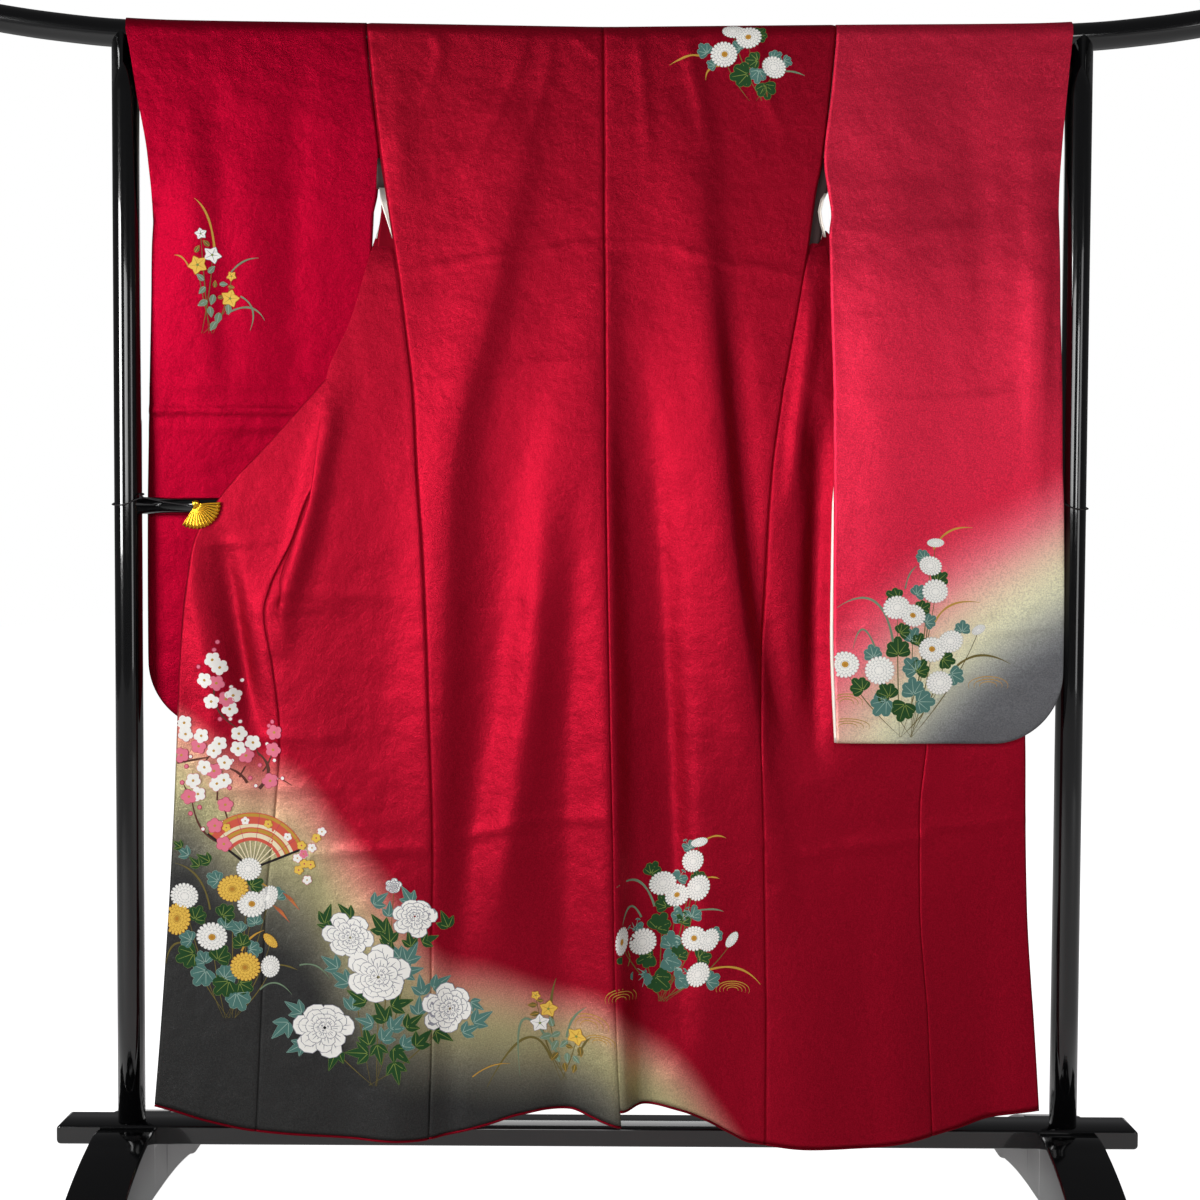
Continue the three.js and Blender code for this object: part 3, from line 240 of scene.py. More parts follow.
FOLDS = [
    fold("shoulder blade", 55, 28, (1600, -98, 0), (1500, -115, 6), (1310, -156, 11), (1055, -212, 14),
         (885, -217, 16), (460, -232, 18), (115, -250, 14)),
    fold("left of the seam", 40, 42, (1385, -6, 0), (1055, -50, 11), (885, -74, 13), (545, -130, 12),
         (330, -140, 0)),
    fold("centre seam", 40, 20, (1500, 4, 0), (1185, 8, 6), (1035, 10, 14), (735, 16, 20), (435, 23, 22),
         (140, 36, 22)),
    fold("right of the seam", 58, 24, (1610, 128, 0), (1500, 136, 6), (1310, 152, 13), (1055, 174, 18),
         (885, 192, 20), (715, 213, 17), (545, 250, 8), (400, 262, 0)),
    fold("right hem", 70, 110, (560, 300, 0), (340, 300, 12), (115, 300, 18)),
    fold("left hem valley", 34, 30, (420, -55, 0), (280, -52, -6), (150, -47, -12)),
    fold("right hem valley", 22, 36, (480, 68, 0), (300, 70, -8), (150, 66, -18)),
    fold("beside the right sleeve", 20, 30, (1180, 306, 0), (1030, 305, -6), (800, 300, -7),
         (620, 296, 0)),
    fold("right front edge", 60, 40, (860, 600, 0), (690, 602, 12), (520, 606, 7), (330, 615, 0)),
    fold("below the clip", 22, 24, (965, -545, 0), (880, -528, -7), (780, -505, -9), (686, -480, -7),
         (560, -462, 0)),
    # Finer ones than the solids carry.
    fold("left trough", 42, 36, (1222, -130, 0), (1053, -140, -3), (883, -148, -5.5), (742, -152, -7),
         (600, -175, -7), (455, -200, -6), (330, -215, 0)),
    fold("second ridge", 24, 22, (1264, -64, 0), (1053, -80, 3), (884, -88, 4), (700, -95, 4),
         (542, -120, 4), (369, -160, 0)),
    fold("left of the centre seam", 34, 22, (1054, -44, 0), (941, -46, -3), (742, -48, -4.5),
         (456, -52, -4.5), (313, -52, 0)),
    fold("right of the centre seam", 46, 26, (1264, 46, 0), (1138, 66, -6), (885, 86, -17),
         (629, 100, -24), (400, 110, -18), (200, 118, 0)),
    fold("beside the right ridge", 17, 26, (1377, 170, 0), (1195, 189, -6.4), (942, 213, -9.6),
         (772, 249, -9.6), (630, 286, 0)),
    fold("ridge of the right front", 13, 13, (1349, 302, 0), (1266, 294, 6.4), (1111, 277, 8),
         (999, 269, 0)),
    fold("under the right sleeve", 16, 20, (1168, 312, 0), (1083, 310, -8), (886, 306, -12.8),
         (744, 306, -9.6), (630, 312, 0)),
    fold("ridge of the left front", 20, 17, (1193, -370, 0), (1108, -387, 8), (967, -417, 9.6),
         (868, -445, 6.4), (797, -453, 0)),
    fold("left okumi trough", 16, 16, (995, -544, 0), (924, -530, -6.4), (797, -509, -8), (654, -493, 0)),
    fold("left okumi ridge", 19, 19, (1023, -582, 0), (910, -577, 4.8), (740, -549, 4.8), (626, -544, 0)),
    fold("left armhole", 23, 23, (1639, -283, 0), (1528, -285, 3.2), (1389, -277, 0)),
    fold("right front hem", 44, 44, (516, 437, 0), (373, 431, 8), (228, 433, 11.2), (100, 442, 11.2)),
    fold("right okumi hem", 38, 38, (517, 543, 0), (344, 553, -6.4), (99, 563, -8)),
    fold("left front hem", 38, 44, (684, -339, 0), (512, -322, 4.8), (340, -311, 8), (152, -304, 8)),
    fold("left back hem", 40, 30, (700, -247, 0), (541, -245, -5), (398, -237, -9), (182, -225, -9.6)),
    fold("left pucker", 8, 10, (1690, -240, 0), (1656, -228, 2.4), (1516, -291, 0)),
    fold("left long pucker", 12, 10, (1695, -98, 0), (1642, -115, 3), (1540, -160, 2.4), (1447, -206, 0)),
    fold("left small pucker", 9, 9, (1695, -70, 0), (1620, -78, 2.2), (1475, -129, 0)),
    fold("right small pucker", 9, 9, (1700, 48, 0), (1657, 53, 2.2), (1560, 62, 1.6), (1476, 68, 0)),
    fold("right long pucker", 10, 12, (1700, 116, 0), (1643, 124, 3), (1550, 146, 2), (1449, 167, 0)),
    fold("right pucker", 10, 8, (1690, 214, 0), (1630, 222, 2.4), (1519, 265, 0)),
]

SLEEVE_FOLDS = [
    fold("right sleeve", 75, 65, (1640, 440, 0), (1500, 430, 7), (1250, 405, 9), (960, 400, 8),
         (740, 400, 4)),
    fold("right sleeve edge", 26, 18, (1560, 628, 0), (1440, 622, 4), (1250, 614, 4), (1080, 618, 0)),
    fold("left sleeve", 50, 90, (1560, -560, 0), (1400, -560, 5), (1160, -540, 4), (1060, -540, 0)),
    # Finer ones.
    fold("right ridge", 40, 60, (1675, 419, 0), (1442, 401, 2), (1304, 388, 2.5), (887, 393, 2),
         (718, 402, 0)),
    fold("right trough", 22, 26, (1634, 516, 0), (1511, 524, -3), (1305, 534, -4), (1055, 537, 0)),
    fold("right outer ridge", 20, 20, (1635, 600, 0), (1443, 603, 3), (1139, 605, 4.5), (944, 607, 0)),
    fold("left trough", 22, 30, (1645, -547, 0), (1505, -541, -3), (1308, -539, -4.5), (1138, -533, 0)),
    fold("left inner trough", 26, 26, (1645, -427, 0), (1505, -433, -3), (1308, -442, -3),
         (1138, -445, 0)),
]

SLEEVE_LEFT = table("z inner farInner outer near far",
    (1700, -333, -333, -674, -20.6, 20.6),
    (1671, -330.5, -332, -667, -20.8, 20.6),
    (1595, -322.5, -324, -655, -19.6, 21),
    (1503, -312.5, -314, -641, -15.2, 21),
    (1458, -316, -326, -639, -12, 21),
    (1425, -323, -328, -640, -9.3, 22),
    (1385, -325, -330, -643, -5.2, 22),
    (1309, -328, -332, -646, 3, 23),
    (1200, -332, -334, -650, 9, 24),
    (1068, -334, -336, -654, 13.6, 26),
    (1016, -334, -336, -655, 14, 26),
    (858, -334, -336, -656, 15, 27),
    (680, -334, -336, -656, 15, 27))

SLEEVE_RIGHT = table("z inner farInner outer near far",
    (1700, 330, 330, 663, -20.6, 20.6),
    (1671, 328, 330, 660, -20.8, 20.6),
    (1595, 321.5, 323, 653, -22, 20),
    (1503, 312, 316, 645, -25, 6),
    (1458, 317, 336, 642, -30, -12),
    (1425, 321, 340, 641, -34, -22),
    (1399, 318, 340, 641, -38, -27),
    (1309, 319, 326, 641, -46, -35),
    (1188, 323, 328, 644, -50, -39),
    (1070, 324.5, 328.5, 646, -52, -41),
    (1016, 325, 325, 648, -53, -42),
    (846, 326, 323.6, 650, -55, -44),
    (680, 333, 330.6, 650, -56, -45))


CREASES = [
    crease(2, 6, (-286, 1338, 1.0), (-218, 1354, 1.2), (-152, 1362, 1.1), (-85, 1374, 1.2),
           (5, 1383, 1.0), (96, 1382, 1.2), (127, 1370, 1.3), (163, 1359, 1.1), (229, 1349, 1.2),
           (284, 1338, 1.0)),
    crease(6, 10, (-247, 1186, 0.5), (-160, 1201, 1.2), (-71, 1215, 1.2), (6, 1218, 0.5)),
    crease(6, 9, (189, 1183, 0.4), (225, 1184, 1.3), (259, 1183, 0.7)),
    crease(5, 12, (-411, 518, 1.2), (-338, 525, 2.7), (-235, 530, 1.7)),
    crease(5, 12, (-224, 530, 0.8), (-111, 566, 2.4), (16, 575, 1.4)),
    crease(5, 10, (232, 548, 1.4), (284, 523, 2.7), (319, 523, 1.4)),
    crease(4, 9, (463, 560, 1.4), (530, 566, 2.7), (600, 575, 1.7)),
    crease(6, 9, (321, 532, 1.2), (399, 540, 3.1), (476, 550, 1.4)),
    crease(5, 10, (-493, 865, 0.7), (-430, 868, 1.3), (-359, 874, 0.8)),
    crease(5, 10, (-579, 681, 0.7), (-470, 684, 1.4), (-359, 687, 0.8)),
    crease(5, 10, (-596, 609, 0.7), (-470, 612, 1.3), (-359, 616, 0.8)),
    crease(5, 8, (-587, 955, 0.7), (-520, 962, 1.2), (-438, 973, 0.5)),
    crease(5, 9, (-48, 1686, 0.7), (-28, 1664, 1.7), (-3, 1642, 1)),
    crease(5, 9, (8, 1642, 1), (25, 1661, 1.7), (39, 1680, 0.7)),
]

SLEEVE_CREASES = [
    crease(5, 9, (324, 1171, 0.8), (418, 1160, 1.4), (515, 1166, 1.2), (640, 1181, 0.8)),
    crease(4, 8, (330, 842, 0.6), (370, 846, 1.0), (407, 848, 0.3)),
    crease(4, 8, (547, 843, 0.3), (600, 846, 1.0), (647, 849, 0.6)),
    crease(3, 7, (-660, 1152, 2.0), (-515, 1151, 2.5), (-330, 1155, 2.0)),
    crease(5, 9, (-660, 1127, 0.6), (-515, 1128, 1.0), (-330, 1131, 0.6)),
    crease(5, 9, (-660, 1186, 0.5), (-515, 1188, 0.8), (-330, 1190, 0.5)),
    crease(5, 12, (-660, 1446, 0.3), (-480, 1447, 0.8), (-327, 1445, 0.3)),
]


# ------------------------------------------------------------------ reading the tables

def read(tab, key, place, column):
    """Reads a column at any place, on a smooth curve through the rows that never overshoots them."""
    keys, values = tab[key], tab[column]
    if keys[0] > keys[-1]:
        keys, values = keys[::-1], values[::-1]
    place = np.clip(place, keys[0], keys[-1])
    i = np.clip(np.searchsorted(keys, place, side="right") - 1, 0, len(keys) - 2)
    slopes = np.diff(values) / np.diff(keys)
    product = slopes[:-1] * slopes[1:]
    total = np.where(product > 0, slopes[:-1] + slopes[1:], 1.0)
    tangents = np.concatenate((slopes[:1], np.where(product > 0, 2 * product / total, 0.0), slopes[-1:]))
    span = keys[i + 1] - keys[i]
    t = (place - keys[i]) / span
    return (values[i] * (1 + 2 * t) * (1 - t) ** 2 + tangents[i] * span * t * (1 - t) ** 2
            + values[i + 1] * t * t * (3 - 2 * t) + tangents[i + 1] * span * t * t * (t - 1))


def smooth(start, end, x):
    """Rises from 0 at the start to 1 at the end, level at both."""
    t = np.clip((x - start) / (end - start), 0.0, 1.0)
    return t * t * (3 - 2 * t)


def lerp(a, b, t):
    return a + (b - a) * t


def lift(folds, x, z):
    """How far a set of folds raises the cloth at a place."""
    total = np.zeros(np.broadcast(x, z).shape)
    for item in folds:
        line = item["line"]
        crest = read(line, "z", z, "x")
        height = np.where(z > line["z"][0], 0.0, read(line, "z", z, "lift"))
        reach = np.where(x < crest, item["left"], item["right"])
        total = total + height * np.exp(-(((x - crest) / reach) ** 2))
    return total


def crossing(creases, x, z):
    """The same for creases, which run across and fade above and below."""
    total = np.zeros(np.broadcast(x, z).shape)
    for item in creases:
        line = item["line"]
        crest = read(line, "x", x, "z")
        inside = (x >= line["x"][0]) & (x <= line["x"][-1])
        height = np.where(inside, read(line, "x", x, "lift"), 0.0)
        reach = np.where(z < crest, item["below"], item["above"])
        total = total + height * np.exp(-(((z - crest) / reach) ** 2))
    return total


# ------------------------------------------------------------------ the middle of each cloth

ROD_RADIUS = 19.0
CLOTH_RADIUS = 20.6              # the middle of the cloth where it turns over the rod
QUARTER_TURN = math.pi / 2 * CLOTH_RADIUS
ROD_TOP = 1680.0                 # where the cloth leaves the rod, in the tables' heights
CREST = 1700.0                   # the tables' rows for the rod's crest
NOMINAL_HEM = 135.0
SIDE_SEAM_TOP = 1343.0
ARMHOLE_TOP = 1510.0
FADE_OUT = 60.0                  # the folds fade over this height above the side seam
OKUMI_TOP = 1423.0
THICKNESS = 1.2
HEM_GAP = 0.4                    # from the cloth's last row to the roll below it
TURN_ROWS, DROP_ROWS, OKUMI_ROWS, BACK_COLUMNS = 10, 250, 210, 64


def rod_height(x):
    return read(ROD_LINE, "x", np.abs(x), "z")


def over_rod(x, angle):
    """A place on the cloth where it turns over the rod: angle 0 faces the viewer, pi faces away."""
    return np.stack((x, -CLOTH_RADIUS * np.cos(angle), rod_height(x) + CLOTH_RADIUS * np.sin(angle)), -1)


def body_drift(x, z):
    """How far the body's folds and creases bring its cloth forward."""
    return lift(FOLDS, x, z) + crossing(CREASES, x, z)


def sleeve_drift(x, z):
    return lift(SLEEVE_FOLDS, x, z) + crossing(SLEEVE_CREASES, x, z)


def back_depth(x, z):
    return -(read(HANG, "z", z, "out") + body_drift(x, z))


def centripetal(p0, p1, p2, p3, t):
    """A point of a centripetal Catmull-Rom curve between p1 and p2; each is an (x, y) pair of arrays."""
    def knot(a, b):
        return np.maximum(((a[0] - b[0]) ** 2 + (a[1] - b[1]) ** 2) ** 0.25, 1e-4)
    d0, d1, d2 = knot(p0, p1), knot(p1, p2), knot(p2, p3)
    out = []
    for a, b, c, d in zip(p0, p1, p2, p3):
        start = ((b - a) / d0 - (c - a) / (d0 + d1) + (c - b) / d1) * d1
        end = ((c - b) / d1 - (d - b) / (d1 + d2) + (d - c) / d2) * d1
        out.append(b + start * t + (-3 * b + 3 * c - 2 * start - end) * t ** 2
                   + (2 * b - 2 * c + start + end) * t ** 3)
    return out


def front_section(side, z, share):
    """A front's cross-section at height z, from the side seam (0) to the free edge (1)."""
    tab = FRONT_LEFT if side == "left" else FRONT_RIGHT
    hang = -read(HANG, "z", z, "out")
    leaving = lerp(-read(HANG, "z", SIDE_SEAM_TOP, "out"), CLOTH_RADIUS,
                   smooth(SIDE_SEAM_TOP, ARMHOLE_TOP, z))
    points = [(read(BACK_SEAMS, "z", z, side), np.where(z < SIDE_SEAM_TOP, hang, leaving))]
    for place in ("fold", "tuck", "seam", "edge"):
        points.append((read(tab, "z", z, place), read(tab, "z", z, place + "Y")))
    first = tuple(2 * a - b for a, b in zip(points[0], points[1]))
    last = tuple(2 * a - b for a, b in zip(points[4], points[3]))
    points = [first, *points, last]
    x, y = np.zeros(z.shape), np.zeros(z.shape)
    for i in range(4):
        t = np.clip(share * 4 - i, 0.0, 1.0)
        here = (share * 4 >= i) & ((share * 4 <= i + 1) if i == 3 else (share * 4 < i + 1))
        px, py = centripetal(points[i], points[i + 1], points[i + 2], points[i + 3], t)
        x, y = np.where(here, px, x), np.where(here, py, y)
    return x, y


def on_rows(side, drops, section):
    """Points on rows spread evenly between the rod and the hem line: section(z) gives their x and y."""
    hem = HEM_LEFT if side == "left" else HEM_RIGHT
    z = lerp(ROD_TOP, NOMINAL_HEM, drops)
    # A row's height and its x depend on each other; four rounds settle them.
    for _ in range(4):
        x, _y = section(z)
        z = lerp(rod_height(x), read(hem, "x", x, "z") + HEM_GAP, drops)
    x, y = section(z)
    return np.stack((x, y, z), -1)


def turn_seam(side, turned):
    """The armhole seam's place over the rod, where turned goes from 0 on the crest to 1 at its side."""
    return read(BACK_SEAMS, "z", lerp(CREST, ROD_TOP, turned), side)


def back_grid(side):
    """A back panel, from the rod's crest over the rod and down to the hem."""
    across = np.linspace(0.0, 1.0, BACK_COLUMNS + 1)[None, :]
    turned = np.linspace(0.0, 1.0, TURN_ROWS, endpoint=False)[:, None]
    x = lerp(read(BACK_SEAMS, "z", ROD_TOP, "centre"), turn_seam(side, turned), across)
    turn = over_rod(x, math.pi / 2 * (1 - turned) + 0 * x)
    across_rows = across + np.zeros((DROP_ROWS + 1, 1))
    drops = np.linspace(0.0, 1.0, DROP_ROWS + 1)[:, None] + 0 * across_rows

    def section(z):
        sx = lerp(read(BACK_SEAMS, "z", z, "centre"), read(BACK_SEAMS, "z", z, side), across_rows)
        return sx, back_depth(sx, z)
    return np.concatenate((turn, on_rows(side, drops, section)))


FRONT_SHARES = np.concatenate((np.linspace(0.0, 0.25, 44, endpoint=False),
                               np.linspace(0.25, 0.5, 26, endpoint=False),
                               np.linspace(0.5, 0.75, 15)))
OKUMI_SHARES = np.linspace(0.75, 1.0, 34)


def front_rows(side, shares, drops):
    """Hanging rows of a front, or of the okumi, which goes on from its outermost share."""
    share = shares[None, :] + 0 * drops

    def section(z):
        x, y = front_section(side, z, share)
        weight = smooth(SIDE_SEAM_TOP + FADE_OUT, SIDE_SEAM_TOP, z)
        return x, y - body_drift(x, z) * weight
    return on_rows(side, drops + 0 * share, section)


def front_grid(side):
    """A front panel, from the rod's crest down the far side and round to the clip."""
    sign = -1 if side == "left" else 1
    turned = np.linspace(0.0, 1.0, TURN_ROWS, endpoint=False)[:, None]
    top_z = np.full((1, len(FRONT_SHARES)), ROD_TOP)
    top_x = front_section(side, top_z, FRONT_SHARES[None, :])[0]
    across = (top_x - top_x[:, :1]) / (top_x[:, -1:] - top_x[:, :1])
    inner = sign * read(NECK_EDGE, "h", QUARTER_TURN * turned, "x")
    x = lerp(turn_seam(side, turned), inner, across)
    turn = over_rod(x, math.pi / 2 * (1 + turned) + 0 * x)
    drops = np.linspace(0.0, 1.0, DROP_ROWS + 1)[:, None]
    return np.concatenate((turn, front_rows(side, FRONT_SHARES, drops)))


def okumi_grid(side):
    """The overlap panel, from its pointed top to the hem."""
    start = (ROD_TOP - OKUMI_TOP) / (ROD_TOP - NOMINAL_HEM)
    drops = np.linspace(start, 1.0, OKUMI_ROWS)[:, None]
    return front_rows(side, OKUMI_SHARES, drops)


SLEEVE_BOTTOM = {"left": 692.0, "right": 686.0}
SLEEVE_CORNER = {"height": 100.0, "share": 0.31}     # the rounded corner, as a share of the width
SLEEVE_ROWS = {"near": 190, "far": 120}
CUFF_END = 1480.0
SEWN_APART = 1.25                # from a sleeve's middle to each wall where the two are sewn together


def sleeve_grid(side):
    """The whole sleeve as one length: up the near half, over the rod and down the far half."""
    tab = SLEEVE_LEFT if side == "left" else SLEEVE_RIGHT
    sign = -1 if side == "left" else 1
    bend = SLEEVE_CORNER["share"]
    shares = np.concatenate((np.linspace(0.0, 1 - bend, 46, endpoint=False),
                             1 - bend * (1 - np.sin(np.linspace(0, math.pi / 2, 26)))))[None, :]

    def x_at(z, inner):
        return lerp(read(tab, "z", z, inner) + 0.5 * sign, read(tab, "z", z, "outer"), shares)

    def half(column, inner):
        drop = np.linspace(0.0, 1.0, SLEEVE_ROWS[column])[:, None] + 0 * shares
        corner = np.clip((shares - 1 + bend) / bend, 0.0, 1.0)
        bottom = SLEEVE_BOTTOM[side] + SLEEVE_CORNER["height"] * (1 - np.sqrt(1 - corner ** 2))
        z = lerp(rod_height(x_at(np.full(drop.shape, ROD_TOP), inner)), bottom, drop)
        x = x_at(z, inner)
        middle = (read(tab, "z", z, "near") + read(tab, "z", z, "far")) / 2
        # The two walls come together at the sewn outer edge below the cuff, and at the bottom.
        sewn = smooth(CUFF_END + 30, CUFF_END - 60, z)
        opened = (1 - sewn * shares ** 8) * (1 - drop ** 14)
        reach = np.abs(read(tab, "z", z, column) - middle)
        apart = SEWN_APART + (reach - SEWN_APART) * np.sqrt(np.clip(opened, 0.0, 1.0))
        y = middle - apart - sleeve_drift(x, z) if column == "near" else middle + apart
        return np.stack((x, y, z), -1)

    def turn(angles, inner):
        turned = np.abs(angles / (math.pi / 2) - 1)
        x = lerp(x_at(np.full(angles.shape, CREST) + 0 * shares, inner),
                 x_at(np.full(angles.shape, ROD_TOP) + 0 * shares, inner), turned)
        return over_rod(x, angles + 0 * x)

    near_turn = turn(np.linspace(0.0, math.pi / 2, TURN_ROWS, endpoint=False)[1:, None], "inner")
    far_turn = turn(np.linspace(math.pi / 2, math.pi, TURN_ROWS, endpoint=False)[:, None], "farInner")
    return np.concatenate((half("near", "inner")[::-1], near_turn, far_turn, half("far", "farInner")))


NAPE_SHARE, TURN_SHARE = 0.12, 0.06    # the collar's parts behind the neck and over the rod
# The collar's width at the nape and at its ends, the ends' height, how far it lies behind the front below
# the armholes' tops and clear of it above, and its seam at the nape: half width, and rise from low to high.
COLLAR = {"nape": 50.0, "end": 56.0, "end_z": 1076.0, "behind": 4.4, "clear": 1.4,
          "half": 38.0, "low": 0.4, "high": 5.4}
COLLAR_STEP = 0.02               # to each side of a place, for its direction


def collar_seam(t):
    """The collar's seam line: t is -1 at the left front's end, 0 at the nape and 1 at the right end."""
    share = np.abs(t)
    sign = np.where(t < 0, -1.0, 1.0)
    s = share / NAPE_SHARE
    x = sign * COLLAR["half"] * s
    h = lerp(COLLAR["low"], COLLAR["high"], s ** 4)
    y = np.full(t.shape, CLOTH_RADIUS)
    s = (share - NAPE_SHARE) / (1 - NAPE_SHARE)
    turning = (s >= 0) & (s < TURN_SHARE)
    turn_h = lerp(COLLAR["high"], QUARTER_TURN, s / TURN_SHARE)
    h = np.where(turning, turn_h, h)
    x = np.where(turning, sign * (read(NECK_EDGE, "h", turn_h, "x") - COLLAR["clear"]), x)
    z = lerp(ROD_TOP, COLLAR["end_z"], (s - TURN_SHARE) / (1 - TURN_SHARE))
    hanging = s >= TURN_SHARE
    edge = np.where(t < 0, read(FRONT_LEFT, "z", z, "edge"), read(FRONT_RIGHT, "z", z, "edge"))
    depth = np.where(t < 0, read(FRONT_LEFT, "z", z, "edgeY"), read(FRONT_RIGHT, "z", z, "edgeY"))
    x = np.where(hanging, edge - sign * COLLAR["clear"], x)
    h = np.where(hanging, QUARTER_TURN + ROD_TOP - z, h)
    return x, h, np.where(hanging, depth, y)


def collar_grid():
    """The folded collar, laid from its seam line inward."""
    half = np.concatenate((np.linspace(0, NAPE_SHARE, 14, endpoint=False),
                           np.linspace(NAPE_SHARE, 0.18, 20, endpoint=False), np.linspace(0.18, 1, 120)))
    t = np.concatenate((-half[:0:-1], half))[None, :]
    rows = np.linspace(0.0, 1.0, 12)[:, None]
    x, h, y = collar_seam(t)
    next_x, next_h, _ = collar_seam(np.clip(t + COLLAR_STEP, -1, 1))
    last_x, last_h, _ = collar_seam(np.clip(t - COLLAR_STEP, -1, 1))
    length = np.hypot(next_x - last_x, next_h - last_h)
    along = ((next_x - last_x) / length, (next_h - last_h) / length)
    width = lerp(COLLAR["nape"], COLLAR["end"], np.abs(t)) * rows
    gx = x - along[1] * width
    gh = np.maximum(h + along[0] * width, COLLAR["low"])
    under = smooth(1501, 1455, ROD_TOP - (h - QUARTER_TURN))
    gy = y + lerp(COLLAR["clear"], COLLAR["behind"], under) + 0 * gx
    radius = CLOTH_RADIUS + COLLAR["clear"]
    turn = np.minimum(gh / CLOTH_RADIUS, math.pi / 2)
    hanging = gh > QUARTER_TURN
    py = np.where(hanging, gy, radius * np.sin(turn))
    pz = np.where(hanging, rod_height(gx) - (gh - QUARTER_TURN), rod_height(gx) + radius * np.cos(turn))
    return np.stack((gx, py, pz), -1)


# ------------------------------------------------------------------ materials

def rgb(red, green, blue):
    """A colour as seen on a screen, 0 to 255, as the linear one that the shaders take."""
    return tuple((c / 12.92 if c <= 0.04045 else ((c + 0.055) / 1.055) ** 2.4)
                 for c in (red / 255, green / 255, blue / 255)) + (1.0,)


def node(tree, kind, inputs=(), **attributes):
    """Adds a shader node; inputs are values, or sockets of other nodes, by name or number."""
    made = tree.nodes.new("ShaderNode" + kind)
    for name, value in attributes.items():
        setattr(made, name, value)
    for key, value in dict(inputs).items():
        if isinstance(value, bpy.types.NodeSocket):
            tree.links.new(value, made.inputs[key])
        else:
            made.inputs[key].default_value = value
    return made


def maths(tree, operation, a, b=0.0, clamp=False):
    """The value of a math node."""
    return node(tree, "Math", {0: a, 1: b}, operation=operation, use_clamp=clamp).outputs[0]


def material(name, colour, roughness, **sockets):
    """A plain finish. Sockets are Principled BSDF inputs, with _ for a space."""
    made = bpy.data.materials.new(name)
    made.use_nodes = True
    shader = made.node_tree.nodes["Principled BSDF"]
    shader.inputs["Base Color"].default_value = colour
    shader.inputs["Roughness"].default_value = roughness
    for socket, value in sockets.items():
        shader.inputs[socket.replace("_", " ").title().replace("Ior", "IOR")].default_value = value
    return made


def add_bumps(made, layers):
    """Roughens a finish with noise: each layer is (features a metre, depth in metres)."""
    tree = made.node_tree
    place = node(tree, "TexCoord").outputs["Object"]
    normal = None
    for scale, depth in layers:
        noise = node(tree, "TexNoise", {"Vector": place, "Scale": scale, "Detail": 2.0})
        inputs = {"Height": noise.outputs["Fac"], "Distance": depth, "Strength": 1.0}
        if normal is not None:
            inputs["Normal"] = normal
        normal = node(tree, "Bump", inputs).outputs["Normal"]
    tree.links.new(normal, tree.nodes["Principled BSDF"].inputs["Normal"])


def add_grain(made):
    """Speckles the colour with the fine grain of crepe satin."""
    tree = made.node_tree
    base = tree.nodes["Principled BSDF"].inputs["Base Color"]
    place = node(tree, "TexCoord").outputs["Object"]
    noise = node(tree, "TexNoise", {"Vector": place, "Scale": 520.0, "Detail": 1.0})
    value = node(tree, "MapRange", {0: noise.outputs["Fac"], 1: 0.3, 2: 0.7, 3: 0.82, 4: 1.18}).outputs[0]
    source = base.links[0].from_socket if base.is_linked else tuple(base.default_value)
    speckled = node(tree, "HueSaturation", {"Color": source, "Value": value})
    tree.links.new(speckled.outputs[0], base)


WEAVE = ((700.0, 0.0004), (170.0, 0.0004), (22.0, 0.003))
# Satin shines in its own colour: part of its finish is metallic, and its colourless shine is slight.
SATIN = {"metallic": 0.75, "specular_ior_level": 0.03}
SATIN_ROUGHNESS = 0.46
LINING = {"upper": rgb(236, 230, 222), "lower": rgb(118, 10, 28), "from": 0.86, "to": 0.87}    # metres
CRIMSON = rgb(160, 3, 35)

# Where the dye on the body changes, across its width: the top of the charcoal and the foot of the red.
DYE_ACROSS = table("x charcoal red",
    (-640, 480, 760),
    (-600, 484, 742),
    (-520, 410, 690),
    (-423, 342, 655),
    (-358, 226, 578),
    (-280, 168, 484),
    (-216, 160, 392),
    (-152, 152, 378),
    (-52, 150, 340),
    (5, 130, 334),
    (60, 80, 285),
    (118, 20, 250),
    (175, -60, 180),
    (232, -140, 100),
    (290, -220, 20),
    (640, -400, -150))
# The colours between them, at shares of the way up.
DYE = [(0.0, rgb(56, 56, 57)), (0.12, rgb(78, 78, 73)), (0.27, rgb(118, 115, 102)),
       (0.42, rgb(160, 154, 118)), (0.58, rgb(188, 180, 134)), (0.72, rgb(208, 164, 134)),
       (0.84, rgb(202, 112, 106)), (0.93, rgb(172, 46, 60)), (1.0, CRIMSON)]
# The same on the right sleeve. Its reds are lighter than the body's partly for its own lighter dye and
# partly as painted light, brightened for the light the sleeve catches.
SLEEVE_DYE_ACROSS = table("x grey red",
    (320, 400, 872),
    (370, 475, 915),
    (430, 590, 965),
    (513, 700, 1010),
    (576, 760, 1042),
    (632, 797, 1077),
    (660, 812, 1092))
SLEEVE_DYE_AND_LIGHT = [(0.0, rgb(112, 112, 116)), (0.125, rgb(144, 146, 147)), (0.25, rgb(198, 198, 184)),
              (0.375, rgb(246, 244, 206)), (0.5, rgb(248, 230, 196)), (0.625, rgb(250, 188, 174)),
              (0.75, rgb(250, 122, 138)), (0.875, rgb(236, 70, 96)), (1.0, rgb(220, 36, 68))]
CURVE_REACH = 2.6                # the curves' values run over this many metres, around zero


def curve_of(tree, tab, column, along):
    """A table's column, in metres, as a smooth curve over the shader's x."""
    made = node(tree, "FloatCurve", {"Value": along})
    start, end = tab["x"][0], tab["x"][-1]
    points = made.mapping.curves[0].points
    while len(points) < len(tab["x"]):
        points.new(0.5, 0.5)
    for point, x, value in zip(points, tab["x"], tab[column]):
        point.location = ((x - start) / (end - start), value * MM / CURVE_REACH + 0.5)
        point.handle_type = "AUTO_CLAMPED"
    made.mapping.update()
    spread = maths(tree, "SUBTRACT", made.outputs[0], 0.5)
    return maths(tree, "MULTIPLY", spread, CURVE_REACH)


